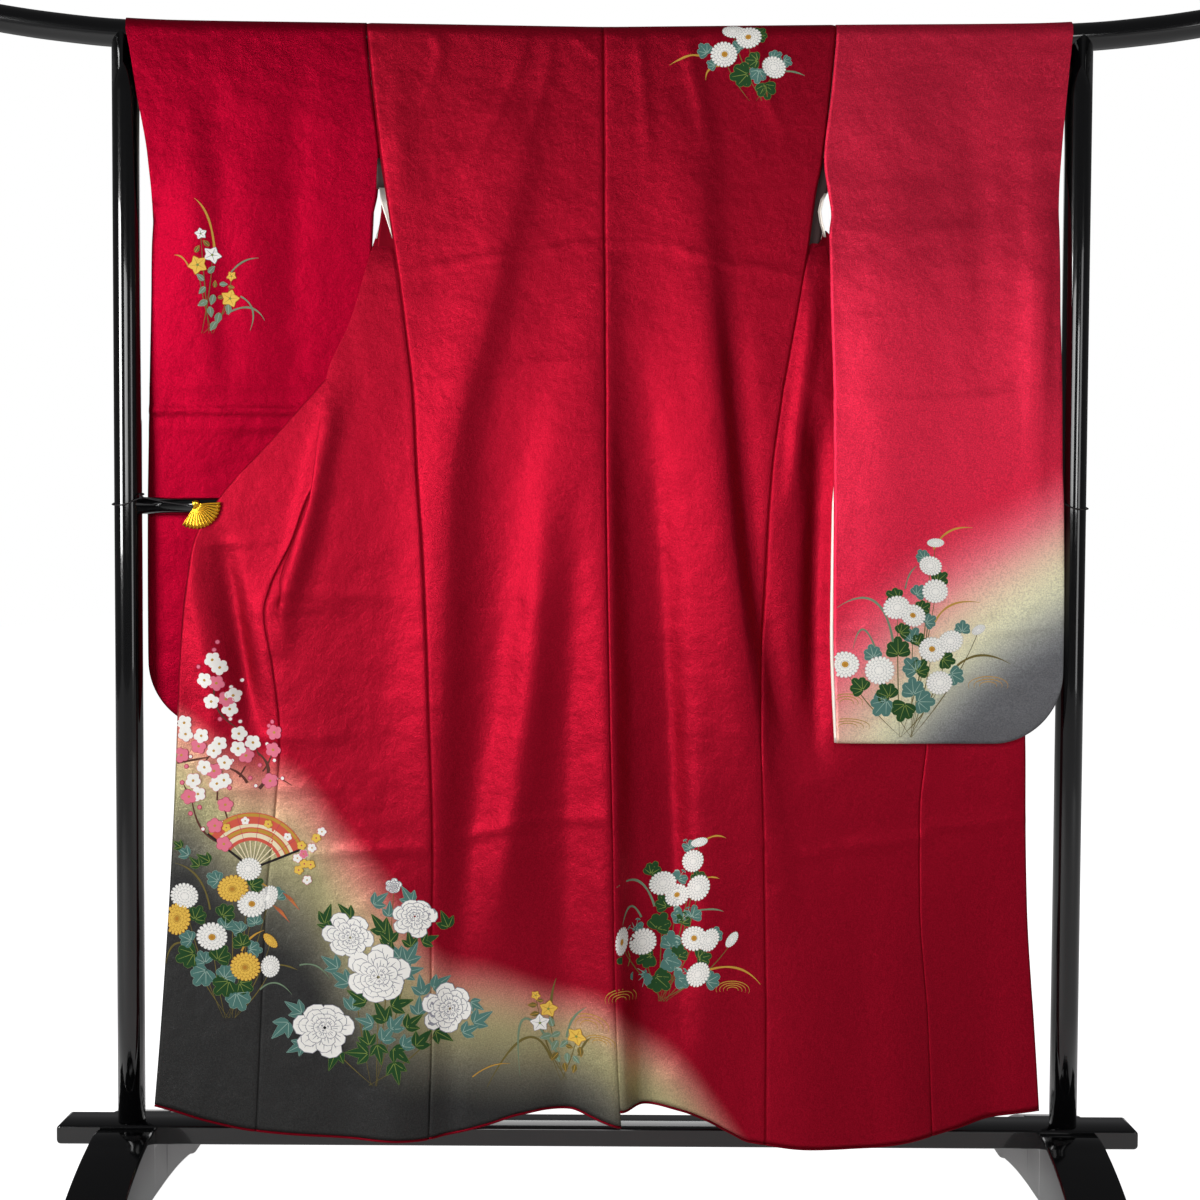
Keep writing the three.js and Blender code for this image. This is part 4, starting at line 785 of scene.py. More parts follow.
def shade_dyed(name, tab, low, stops):
    """Silk whose colour runs through the stops from the low column's heights to the red column's."""
    made = material(name, CRIMSON, SATIN_ROUGHNESS, **SATIN)
    tree = made.node_tree
    place = node(tree, "TexCoord").outputs["Object"]
    axes = node(tree, "SeparateXYZ", {0: place})
    start, end = tab["x"][0] * MM, tab["x"][-1] * MM
    shifted = maths(tree, "SUBTRACT", axes.outputs["X"], start)
    along = maths(tree, "DIVIDE", shifted, end - start, clamp=True)
    noise = node(tree, "TexNoise", {"Vector": place, "Scale": 4.0, "Detail": 1.0})
    wander = maths(tree, "MULTIPLY", maths(tree, "SUBTRACT", noise.outputs["Fac"], 0.5), 0.014)
    height = maths(tree, "ADD", axes.outputs["Z"], wander)
    bottom = curve_of(tree, tab, low, along)
    top = curve_of(tree, tab, "red", along)
    share = maths(tree, "DIVIDE", maths(tree, "SUBTRACT", height, bottom),
                  maths(tree, "SUBTRACT", top, bottom), clamp=True)
    ramp = node(tree, "ValToRGB", {"Fac": share})
    ramp.color_ramp.interpolation = "B_SPLINE"
    elements = ramp.color_ramp.elements
    while len(elements) < len(stops):
        elements.new(1.0)
    for element, (at, colour) in zip(elements, stops):
        element.position = at
        element.color = colour
    tree.links.new(ramp.outputs["Color"], tree.nodes["Principled BSDF"].inputs["Base Color"])
    add_bumps(made, WEAVE)
    return made


def shade_lining():
    """White above, and the dark red of the lower lining below."""
    made = material("lining", LINING["upper"], 0.55, **SATIN)
    tree = made.node_tree
    axes = node(tree, "SeparateXYZ", {0: node(tree, "TexCoord").outputs["Object"]})
    upper = node(tree, "MapRange", {0: axes.outputs["Z"], 1: LINING["from"], 2: LINING["to"]})
    mix = node(tree, "Mix", {0: upper.outputs[0]}, data_type="RGBA")
    mix.inputs[6].default_value = LINING["lower"]
    mix.inputs[7].default_value = LINING["upper"]
    tree.links.new(mix.outputs[2], tree.nodes["Principled BSDF"].inputs["Base Color"])
    add_bumps(made, WEAVE)
    return made


body_silk = shade_dyed("dyed_silk", DYE_ACROSS, "charcoal", DYE)
# The right sleeve's silk: its dye, with its reds brightened as painted light.
sleeve_dye_and_painted_light = shade_dyed("dyed_sleeve_silk_painted_light", SLEEVE_DYE_ACROSS, "grey", SLEEVE_DYE_AND_LIGHT)
# The left sleeve's and the collar's crimson: the body's silk, made a little darker as painted shade.
crimson_painted_shade_silk = material("crimson_silk_painted_shade", rgb(150, 3, 35), SATIN_ROUGHNESS, **SATIN)
add_bumps(crimson_painted_shade_silk, WEAVE)
piping_silk = material("piping_silk", rgb(112, 8, 24), 0.5, **SATIN)
lining_silk = shade_lining()
# A dark grey-brown that stands in for the shadow inside the armholes: painted shade.
painted_shade_silk = material("painted_shade_lining", rgb(74, 58, 58), 0.6, **SATIN)
for silk in (body_silk, sleeve_dye_and_painted_light, crimson_painted_shade_silk):
    add_grain(silk)
pale_silk = material("pale_silk", rgb(232, 224, 214), 0.55, **SATIN)
lacquer = material("black_lacquer", rgb(5, 5, 6), 0.12, coat_weight=1.0, coat_roughness=0.04)
gilt = material("gilt_metal", rgb(236, 178, 52), 0.24, metallic=1.0)
elastic = material("elastic", rgb(24, 20, 22), 0.7)


# ------------------------------------------------------------------ meshes

def make(name, points, faces, materials, slots=None):
    """A smooth mesh object from points in millimetres. Slots gives each face's material."""
    mesh = bpy.data.meshes.new(name)
    mesh.from_pydata((np.asarray(points) * MM).tolist(), [], faces)
    for finish in materials:
        mesh.materials.append(finish)
    if slots is not None:
        mesh.polygons.foreach_set("material_index", slots)
    mesh.polygons.foreach_set("use_smooth", [True] * len(mesh.polygons))
    mesh.update()
    piece = bpy.data.objects.new(name, mesh)
    bpy.context.collection.objects.link(piece)
    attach(piece, "root")
    return piece


def normals_of(grid):
    """Unit normals at a grid's points."""
    along, down = np.gradient(grid, axis=1), np.gradient(grid, axis=0)
    normal = np.cross(along, down)
    return normal / np.linalg.norm(normal, axis=-1, keepdims=True)


def quads(rows, columns):
    """Corner numbers of a grid's cells, so that a cell's normal is its columns' direction x its rows'."""
    r, c = np.meshgrid(np.arange(rows - 1), np.arange(columns - 1), indexing="ij")
    first = (r * columns + c).ravel()
    return np.stack((first, first + 1, first + columns + 1, first + columns), -1)


def shell(name, grid, thickness, materials):
    """Cloth of even thickness with the grid as its middle; the first finish is on its normals' side."""
    rows, columns = grid.shape[:2]
    half = normals_of(grid) * thickness / 2
    points = np.concatenate(((grid + half).reshape(-1, 3), (grid - half).reshape(-1, 3)))
    front = quads(rows, columns)
    back = front[:, ::-1] + rows * columns
    edge = np.concatenate((np.arange(columns), np.arange(1, rows) * columns + columns - 1,
                           (rows - 1) * columns + np.arange(columns - 2, -1, -1),
                           np.arange(rows - 2, 0, -1) * columns))
    after = np.roll(edge, -1)
    rim = np.stack((after, edge, edge + rows * columns, after + rows * columns), -1)
    faces = np.concatenate((front, back, rim))
    slots = np.concatenate((np.zeros(len(front)), np.ones(len(back)), np.zeros(len(rim)))).astype(int)
    return make(name, points, faces.tolist(), materials, slots)


def dip(grid, columns, depth=1.1, reach=2.6):
    """Draws the cloth in along the seams at its first (0) or last (-1) column."""
    normal = normals_of(grid)
    for column in columns:
        steps = np.linalg.norm(np.diff(grid, axis=1), axis=-1)
        along = np.concatenate((np.zeros((len(grid), 1)), np.cumsum(steps, axis=1)), axis=1)
        distance = along if column == 0 else along[:, -1:] - along
        grid = grid - normal * (depth * np.exp(-((distance / reach) ** 2)))[..., None]
    return grid


def rings(name, sections, materials):
    """A solid lofted through closed rings of points, which go round it leftward seen from the last one."""
    sections = np.asarray(sections, float)
    count, around = sections.shape[:2]
    r, k = np.meshgrid(np.arange(count - 1), np.arange(around), indexing="ij")
    first, after = (r * around + k).ravel(), (r * around + (k + 1) % around).ravel()
    faces = np.stack((first, after, after + around, first + around), -1).tolist()
    faces.append(list(range(around))[::-1])
    faces.append(list(range((count - 1) * around, count * around)))
    piece = make(name, sections.reshape(-1, 3), faces, materials)
    for cap in piece.data.polygons[-2:]:
        cap.use_smooth = False
    return piece


def tube(name, path, radius, materials, sides=12):
    """A round cord along a path; radius may be (across, up) for a flattened one."""
    path = np.asarray(path, float)
    along = np.gradient(path, axis=0)
    along /= np.linalg.norm(along, axis=1, keepdims=True)
    across = np.cross(along, np.array([0.0, 0.31, 0.95]))
    across /= np.linalg.norm(across, axis=1, keepdims=True)
    up = np.cross(across, along)
    angle = np.linspace(0, 2 * math.pi, sides, endpoint=False)
    wide, high = radius if isinstance(radius, tuple) else (radius, radius)
    sections = (path[:, None] + across[:, None] * (wide * np.cos(angle))[None, :, None]
                + up[:, None] * (high * np.sin(angle))[None, :, None])
    return rings(name, sections, materials)


# ------------------------------------------------------------------ the garment

def mirrored_if(condition, grid):
    """Reversed columns, so that the outer side's normals face out on both halves."""
    return grid[:, ::-1] if condition else grid


cloths = {}
for side in SIDES:
    is_right = side == "right"
    outer = [body_silk, lining_silk]
    back = dip(mirrored_if(is_right, back_grid(side)), (0, -1))
    cloths["back_" + side] = shell("back_panel_" + side, back, THICKNESS, outer)
    front = dip(mirrored_if(is_right, front_grid(side)), (0, -1))
    cloths["front_" + side] = shell("front_panel_" + side, front, THICKNESS, outer)
    okumi = dip(mirrored_if(is_right, okumi_grid(side)), (-1 if is_right else 0,))
    cloths["okumi_" + side] = shell("okumi_panel_" + side, okumi, THICKNESS, outer)
    for panel, grid in (("back", back), ("front", front), ("okumi", okumi)):
        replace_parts(cloths[panel + "_" + side], panel + "_" + side)
        roll = tube(f"hem_piping_{panel}_{side}", grid[-1] - np.array([0, 0, 1.9]), (1.5, 1.9),
                    [piping_silk])
        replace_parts(roll, f"hem_roll_{panel}_{side}")
    sleeve = mirrored_if(not is_right, sleeve_grid(side))
    finish = [sleeve_dye_and_painted_light if is_right else crimson_painted_shade_silk, pale_silk]
    cloths["sleeve_" + side] = shell("sleeve_whole_" + side, sleeve, THICKNESS, finish)
    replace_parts(cloths["sleeve_" + side], f"sleeve_{side}_near", f"sleeve_{side}_far")
cloths["collar"] = shell("collar_band", collar_grid(), 2.2, [crimson_painted_shade_silk, crimson_painted_shade_silk])
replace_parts(cloths["collar"], "collar")


# What shows inside the armholes: a dark strip of painted shade where the lining lies in
# shadow, the turned edge of the front, and the lining's pale edge.
ARMHOLE_SHADE = {
    "left": table("z inner outer",
        (1506, -301.3, -316.1), (1495, -298.5, -316.8), (1481, -295.7, -317.6),
        (1463, -292.8, -317.6)),
    "right": table("z inner outer",
        (1509, 297.0, 316.7), (1492, 291.5, 319.7), (1473, 288.8, 321.3), (1460, 284.7, 319.3),
        (1453, 283.4, 312.3), (1442, 282.1, 307.2), (1420, 279.4, 309.1), (1406, 276.7, 312.8),
        (1392, 275.5, 309.4), (1380, 274.2, 298.2), (1373, 272.8, 292.6))}
ARMHOLE_RED = {
    "left": table("z inner outer",
        (1457, -295.4, -312.1), (1445, -291.2, -310.4), (1431, -288.4, -310.7),
        (1412, -285.5, -313.3), (1394, -282.7, -316.3), (1382, -281.3, -317.2),
        (1367, -279.9, -317.2)),
    "right": table("z inner outer",
        (1407, 312.5, 317.4), (1400, 312.6, 324.6), (1391, 309.1, 327.5), (1383, 300.7, 329.0),
        (1374, 293.7, 329.1), (1358, 284.0, 329.2))}
ARMHOLE_PALE = {
    "left": table("z inner outer",
        (1464, -298.0, -313.5), (1440, -292.3, -310.0), (1412, -289.5, -300.8),
        (1381, -283.9, -290.9)),
    "right": table("z inner outer",
        (1459, 314.5, 318.1), (1450, 309.0, 313.7), (1434, 305.6, 310.1), (1419, 307.9, 312.3),
        (1408, 311.2, 315.5), (1398, 313.7, 317.3))}
FACING_Y = {"left": -17.5, "right": -16.5}
FACING_STEP = 1.6                # from one strip to the next in front of it
FACING_COLUMNS = 9


def facing(name, tab, y, finish):
    """A strip of cloth that stands inside an armhole."""
    share = np.linspace(0, 1, FACING_COLUMNS)[None, :]
    across = lerp(tab["inner"][:, None], tab["outer"][:, None], share)
    z = np.repeat(tab["z"][:, None], FACING_COLUMNS, axis=1)
    grid = np.stack((across, y + 0.8 * np.sin(math.pi * share) + 0 * z, z), -1)
    shell(name, mirrored_if(across[0, 0] > across[0, -1], grid), 0.6, [finish, finish])


for side in SIDES:
    # The first strip is painted shade: dark cloth where the lining lies in shadow.
    facing("armhole_painted_shade_" + side, ARMHOLE_SHADE[side], FACING_Y[side], painted_shade_silk)
    facing("armhole_front_" + side, ARMHOLE_RED[side], FACING_Y[side] - FACING_STEP, piping_silk)
    facing("armhole_edge_" + side, ARMHOLE_PALE[side], FACING_Y[side] - 2 * FACING_STEP, pale_silk)


# ------------------------------------------------------------------ the stand

POST_X = 677.0
BEAM = {"length": 1555.0, "depth": 51.0, "height": 27.5, "top": 125.0, "bevel": 2.5}
FOOT_WIDTH = 84.0
RAIL = {"radius": 12.0, "z": 1016.0}
GAP = 0.3                        # between parts of the stand that touch


def circle_x(x, z, radius, sides=48):
    """A ring round the X direction."""
    angle = -np.linspace(0, 2 * math.pi, sides, endpoint=False)
    return np.stack((np.full(sides, x), radius * np.cos(angle), z + radius * np.sin(angle)), -1)


def make_rod():
    """The round rod that rises to its ends, whose edges are eased."""
    end = ROD_LINE["x"][-1]
    middle = [(x, ROD_RADIUS) for x in np.linspace(-end, end, 140)[1:-1]]
    eased = 1.4
    stations = [(-end, ROD_RADIUS - eased), (eased - end, ROD_RADIUS), *middle,
                (end - eased, ROD_RADIUS), (end, ROD_RADIUS - eased)]
    sections = [circle_x(x, float(rod_height(np.array(x))), radius) for x, radius in stations]
    return rings("lacquer_rod", sections, [lacquer])


def make_rail():
    """The round rail between the posts."""
    end = POST_X - ROD_RADIUS + 6
    sections = [circle_x(x, RAIL["z"], RAIL["radius"]) for x in np.linspace(-end, end, 12)]
    return rings("lacquer_rail", sections, [lacquer])


def make_post(side):
    """A round post whose top is hollowed to carry the rod."""
    x = -POST_X if side == "left" else POST_X
    angle = np.linspace(0, 2 * math.pi, 48, endpoint=False)
    sections = []
    for z in np.linspace(BEAM["top"] + GAP, 1600, 10):
        sections.append(np.stack((x + ROD_RADIUS * np.cos(angle), ROD_RADIUS * np.sin(angle),
                                  np.full(48, z)), -1))
    for share in (1.0, 0.97, 0.85, 0.65, 0.4, 0.1):
        px, py = x + share * ROD_RADIUS * np.cos(angle), share * ROD_RADIUS * np.sin(angle)
        saddle = rod_height(px) - np.sqrt((ROD_RADIUS + GAP) ** 2 - py ** 2)
        sections.append(np.stack((px, py, saddle), -1))
    return rings("lacquer_post_" + side, sections, [lacquer])


def rounded_box(half_x, low, high, radius, corner=5):
    """A rounded rectangle in X and Z as (x, z) points."""
    points = []
    for cx, cz, start in ((1, 1, 0), (-1, 1, 90), (-1, -1, 180), (1, -1, 270)):
        for i in range(corner + 1):
            angle = math.radians(start + 90 * i / corner)
            points.append((cx * (half_x - radius) + radius * math.cos(angle),
                           (high - radius if cz > 0 else low + radius) + radius * math.sin(angle)))
    return np.array(points)


def make_beam():
    """The flat beam that lies over the feet."""
    half, bevel = BEAM["length"] / 2, BEAM["bevel"]
    low, high = BEAM["top"] - BEAM["height"], BEAM["top"]
    sections = []
    for y, share in ((-1, 1.0), (-0.94, 0.3), (-0.9, 0.0), (0.9, 0.0), (0.94, 0.3), (1, 1.0)):
        inset = share * bevel
        ring = rounded_box(half - inset, low + inset, high - inset, 6.0 - inset)
        sections.append(np.stack((ring[:, 0], np.full(len(ring), y * BEAM["depth"] / 2), ring[:, 1]), -1))
    return rings("lacquer_beam", [s[::-1] for s in sections], [lacquer])


def make_foot(side):
    """A bracket foot that runs under the beam, with a curved top and a shallow arch below."""
    x = -POST_X if side == "left" else POST_X
    notch = BEAM["depth"] / 2 + GAP
    end = FOOT_PROFILE["y"][-1]
    out = np.concatenate(([notch - 0.02, notch + 0.02], np.linspace(notch + 3, end - 1.5, 40), [end]))
    places = np.concatenate((-out[::-1], out))
    under_beam = BEAM["top"] - BEAM["height"] - GAP
    sections = []
    for y in places:
        reach = abs(y)
        top, arch = (float(read(FOOT_PROFILE, "y", reach, column)) for column in ("top", "arch"))
        top = under_beam if reach < notch else top
        inset = 1.2 if reach == end else 0.0
        ring = rounded_box(FOOT_WIDTH / 2 - inset, arch, top - inset, 3.5)
        sections.append(np.stack((x + ring[:, 0], np.full(len(ring), y), ring[:, 1]), -1))
    return rings("lacquer_foot_" + side, [s[::-1] for s in sections], [lacquer])


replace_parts(make_rod(), "top_rod")
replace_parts(make_rail(), "rail")
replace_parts(make_beam(), "beam")
for side in SIDES:
    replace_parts(make_post(side), "post_" + side)
    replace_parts(make_foot(side), "foot_" + side)


# ------------------------------------------------------------------ clips and cords

FAN = {"x": 574.0, "z": 1018.0, "radius": 36.0, "start": 4.0, "end": -122.0, "pleats": 14, "front": -20.8}
JAW = {"length": 30.0, "angle": math.radians(-40), "front": -14.7, "back": -13.5}
KNOT = {"x": 652.5, "y": -16.8, "z": 1027.0, "half": 3.2, "radius": 2.6}


def catmull(points, steps):
    """A smooth path through points."""
    points = np.asarray(points, float)
    ends = np.concatenate(([2 * points[0] - points[1]], points, [2 * points[-1] - points[-2]]))
    path = []
    for a, b, c, d in zip(ends, ends[1:], ends[2:], ends[3:]):
        for i in range(steps):
            t = i / steps
            path.append(0.5 * (2 * b + (c - a) * t + (2 * a - 5 * b + 4 * c - d) * t * t
                               + (3 * b - a - 3 * c + d) * t ** 3))
    return np.array([*path, points[-1]])


def make_fan_clip(side):
    """A pleated gold fan with its hub and the jaw behind the cloth's edge."""
    sign = -1 if side == "left" else 1
    columns = np.linspace(0, 1, FAN["pleats"] * 8 + 1)[None, :]
    rows = np.linspace(0, 1, 7)[:, None]
    angle = np.radians(lerp(FAN["start"], FAN["end"], columns))
    wave = np.cos(columns * FAN["pleats"] * 2 * math.pi)
    reach = lerp(3.0, FAN["radius"] - 0.6 + 0.6 * wave, rows)
    grid = np.stack((sign * (FAN["x"] - reach * np.cos(angle)), FAN["front"] - 0.8 * wave * rows,
                     FAN["z"] + reach * np.sin(angle)), -1)
    leaf = shell("gold_fan_" + side, mirrored_if(sign < 0, grid), 1.3, [gilt, gilt])
    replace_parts(leaf, "fan_clip_" + side)
    turn = np.linspace(0, 2 * math.pi, 28, endpoint=False)[::sign]
    hub = []
    for y, radius in ((-23.2, 1.5), (-22.9, 3.6), (-22.2, 4.8), (-21.4, 5.2), (-13.5, 5.2)):
        hub.append(np.stack((sign * (FAN["x"] + radius * np.cos(turn)), np.full(28, y),
                             FAN["z"] + radius * np.sin(turn)), -1))
    rings("gold_hub_" + side, hub, [gilt])
    along = np.array([math.cos(JAW["angle"]), math.sin(JAW["angle"])])
    normal = np.array([-along[1], along[0]])
    jaw = []
    for share, wide in ((0.0, 3.0), (0.1, 4.5), (0.85, 4.5), (1.0, 3.0)):
        middle = JAW["length"] * share * along
        corners = [(*(middle + edge * wide * normal), JAW[face])
                   for edge, face in ((-1, "front"), (1, "front"), (1, "back"), (-1, "back"))]
        jaw.append([(sign * (FAN["x"] - px), y, FAN["z"] + pz) for px, pz, y in corners[::-sign]])
    rings("gold_jaw_" + side, jaw, [gilt])


def make_cord(side):
    """The elastic from the clip to the post, round it and back to its knot."""
    sign = -1 if side == "left" else 1
    route = np.stack((sign * CORD_ROUTE["x"], CORD_ROUTE["y"], CORD_ROUTE["z"]), -1)
    cord = tube("elastic_cord_" + side, catmull(route, 8), 1.0, [elastic], 10)
    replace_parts(cord, "clip_cord_" + side)
    turn = np.linspace(0, 2 * math.pi, 16, endpoint=False)[::-sign]
    ball = []
    for angle in np.linspace(0, math.pi, 9):
        x = sign * (KNOT["x"] - KNOT["half"] * math.cos(angle))
        radius = KNOT["radius"] * max(math.sin(angle), 0.08)
        ball.append(np.stack((np.full(16, x), KNOT["y"] + radius * np.cos(turn),
                              KNOT["z"] + radius * np.sin(turn)), -1))
    rings("elastic_knot_" + side, ball, [elastic])


for side in SIDES:
    make_fan_clip(side)
    make_cord(side)


# ------------------------------------------------------------------ where the artwork lies, in millimetres

BASES = table("x z",
    (-564, 1263), (216, 1587), (429, 695), (91, 309), (-44, 196), (-482, 598), (-525, 286), (-315, 194))
CHRYSANTHEMUMS = table("picture x z radius squash lean core",
    (1, 172, 1651, 18.4, 0.95, 0, 1), (1, 205, 1675, 17.7, 0.85, 10, 1), (1, 184, 1684, 15.6, 0.6, 0, 0),
    (1, 241, 1633, 17, 0.85, -25, 0), (2, 467, 967, 11.9, 0.5, 0, 0), (2, 460, 935, 16.1, 0.8, -15, 0),
    (2, 468, 899, 18.2, 0.9, 0, 0), (2, 414, 877, 18.9, 0.85, 10, 0), (2, 436, 866, 17.5, 0.85, -20, 1),
    (2, 490, 830, 17.5, 0.85, 20, 0), (2, 464, 819, 18.9, 0.9, -10, 1), (2, 343, 797, 20.3, 0.9, 0, 1),
    (2, 390, 789, 20.3, 0.95, 0, 0), (2, 476, 772, 18.2, 0.9, 0, 0), (2, 529, 846, 9.8, 0.6, 30, 0),
    (3, 143, 541, 11.9, 0.5, 20, 0), (3, 135, 513, 16.8, 0.8, 60, 0), (3, 142, 476, 19.6, 0.75, 60, 0),
    (3, 93, 479, 19.6, 0.85, 10, 0), (3, 113, 462, 18.2, 0.8, 40, 1), (3, 64, 396, 19.6, 0.95, 0, 0),
    (3, 34, 403, 19.6, 0.45, 85, 1), (3, 137, 403, 18.9, 0.85, 50, 1), (3, 158, 402, 17.5, 0.7, 60, 0),
    (3, 190, 403, 12.6, 0.5, 55, 0), (3, 143, 352, 19.6, 0.72, 55, 0), (6, -588, 460, 19.7, 0.9, -10, 0),
    (6, -520, 471, 21.9, 0.85, 10, 3), (6, -497, 500, 17.6, 0.9, 0, 0), (6, -492, 450, 20.4, 0.9, 0, 1),
    (6, -469, 459, 18.3, 0.7, 60, 0), (6, -599, 428, 22.6, 0.8, 80, 3), (6, -549, 402, 21.9, 0.9, 0, 1),
    (6, -502, 359, 21.2, 0.95, 0, 3), (6, -466, 398, 12.7, 0.5, -45, 2), (6, -466, 360, 15.5, 0.85, 80, 0))
LEAVES = table("picture x z size kind",
    (0, -555, 1352, 10, 2), (0, -571, 1341, 10, 2), (0, -569, 1323, 10, 2), (0, -555, 1310, 11.5, 2),
    (0, -569, 1305, 11.5, 2), (0, -558, 1293, 11.5, 2), (0, -548, 1284, 12.9, 2), (0, -533, 1297, 11.5, 2),
    (0, -555, 1273, 11.5, 2), (0, -539, 1332, 8.6, 2), (0, -574, 1380, 8.6, 5), (0, -561, 1388, 8.6, 5),
    (0, -551, 1332, 7.2, 5), (0, -543, 1314, 7.2, 5), (0, -528, 1328, 7.2, 5), (1, 194, 1622, 17, 0),
    (1, 231, 1600, 14.2, 0), (1, 211, 1643, 11.4, 0), (1, 222, 1681, 11.4, 0), (1, 143, 1658, 11.4, 1),
    (1, 154, 1638, 8.5, 1), (1, 245, 1649, 9.9, 1), (1, 260, 1641, 8.5, 1), (1, 219, 1621, 12.8, 1),
    (1, 190, 1663, 9.9, 1), (2, 408, 893, 12.6, 0), (2, 476, 918, 12.6, 0), (2, 452, 877, 11.2, 0),
    (2, 416, 822, 16.8, 0), (2, 424, 846, 11.2, 0), (2, 449, 794, 14, 0), (2, 487, 803, 12.6, 0),
    (2, 362, 768, 14, 0), (2, 400, 760, 15.4, 0), (2, 424, 731, 16.8, 0), (2, 446, 832, 11.2, 0),
    (2, 445, 900, 11.2, 1), (2, 448, 950, 9.8, 1), (2, 461, 859, 11.2, 1), (2, 438, 838, 14, 1),
    (2, 380, 815, 12.6, 1), (2, 435, 796, 15.4, 1), (2, 438, 766, 16.8, 1), (2, 394, 738, 18.2, 1),
    (2, 456, 745, 16.8, 1), (2, 499, 780, 14, 1), (2, 507, 850, 11.2, 1), (3, 79, 500, 12.6, 0),
    (3, 142, 492, 11.2, 0), (3, 94, 452, 14, 0), (3, 90, 423, 16.8, 0), (3, 122, 429, 11.2, 0),
    (3, 117, 381, 12.6, 0), (3, 38, 377, 12.6, 0), (3, 68, 372, 15.4, 0), (3, 151, 377, 12.6, 0),
    (3, 91, 337, 18.2, 0), (3, 128, 536, 9.8, 1), (3, 118, 490, 11.2, 1), (3, 117, 435, 14, 1),
    (3, 136, 440, 12.6, 1), (3, 55, 422, 11.2, 1), (3, 105, 397, 15.4, 1), (3, 106, 366, 16.8, 1),
    (3, 60, 343, 18.2, 1), (3, 123, 343, 15.4, 1), (3, 167, 412, 11.2, 1), (3, 163, 346, 14, 1),
    (4, -66, 282, 11.2, 2), (4, -74, 261, 12.6, 2), (4, -60, 263, 11.2, 2), (4, -61, 247, 12.6, 2),
    (4, -48, 249, 11.2, 2), (4, -43, 229, 11.2, 2), (4, -57, 229, 11.2, 2), (4, -30, 228, 9.8, 2),
    (4, -93, 307, 9.8, 5), (4, -90, 294, 9.8, 5), (4, -82, 313, 7, 5), (4, -61, 231, 11.2, 5),
    (4, -24, 240, 11.2, 5), (4, -40, 246, 8.4, 5), (4, -46, 215, 9.8, 5), (4, -33, 214, 9.8, 5),
    (6, -561, 514, 12.7, 3), (6, -574, 509, 11.3, 3), (6, -591, 524, 12.7, 4), (6, -599, 534, 9.9, 3),
    (6, -570, 435, 14.1, 0), (6, -528, 438, 14.1, 0), (6, -486, 479, 12.7, 0), (6, -586, 374, 18.3, 0),
    (6, -536, 378, 15.5, 0), (6, -508, 398, 12.7, 0), (6, -534, 331, 18.3, 0), (6, -502, 332, 14.1, 0),
    (6, -547, 486, 12.7, 1), (6, -455, 465, 11.3, 1), (6, -530, 423, 12.7, 1), (6, -512, 416, 11.3, 1),
    (6, -586, 400, 12.7, 1), (6, -563, 372, 12.7, 1), (6, -565, 345, 18.3, 1), (6, -526, 351, 15.5, 1),
    (6, -510, 311, 18.3, 1), (6, -488, 384, 12.7, 1), (6, -489, 428, 11.3, 1), (7, -308, 460, 15.5, 4),
    (7, -270, 466, 15.5, 4), (7, -295, 446, 12.7, 4), (7, -287, 387, 15.5, 4), (7, -263, 385, 18.3, 4),
    (7, -262, 359, 16.9, 4), (7, -380, 367, 16.9, 4), (7, -366, 346, 18.3, 4), (7, -347, 315, 18.3, 4),
    (7, -330, 285, 15.5, 4), (7, -250, 338, 16.9, 4), (7, -222, 341, 16.9, 4), (7, -253, 309, 15.5, 4),
    (7, -296, 270, 16.9, 4), (7, -283, 286, 16.9, 4), (7, -266, 259, 15.5, 4), (7, -432, 302, 16.9, 4),
    (7, -451, 270, 19.7, 4), (7, -430, 244, 15.5, 4), (7, -164, 289, 18.3, 4), (7, -181, 272, 15.5, 4),
    (7, -172, 306, 12.7, 4), (7, -384, 436, 16.9, 3), (7, -359, 441, 15.5, 3), (7, -388, 418, 12.7, 3),
    (7, -310, 425, 18.3, 3), (7, -295, 413, 16.9, 3), (7, -300, 394, 14.1, 3), (7, -217, 430, 15.5, 3),
    (7, -266, 404, 14.1, 3), (7, -238, 403, 14.1, 3), (7, -341, 320, 18.3, 3), (7, -307, 301, 19.7, 3),
    (7, -277, 313, 18.3, 3), (7, -260, 287, 16.9, 3), (7, -247, 262, 18.3, 3), (7, -219, 263, 16.9, 3),
    (7, -327, 265, 16.9, 3), (7, -341, 239, 19.7, 3), (7, -376, 229, 19.7, 3), (7, -309, 240, 16.9, 3),
    (7, -278, 239, 18.3, 3), (7, -284, 214, 18.3, 3))
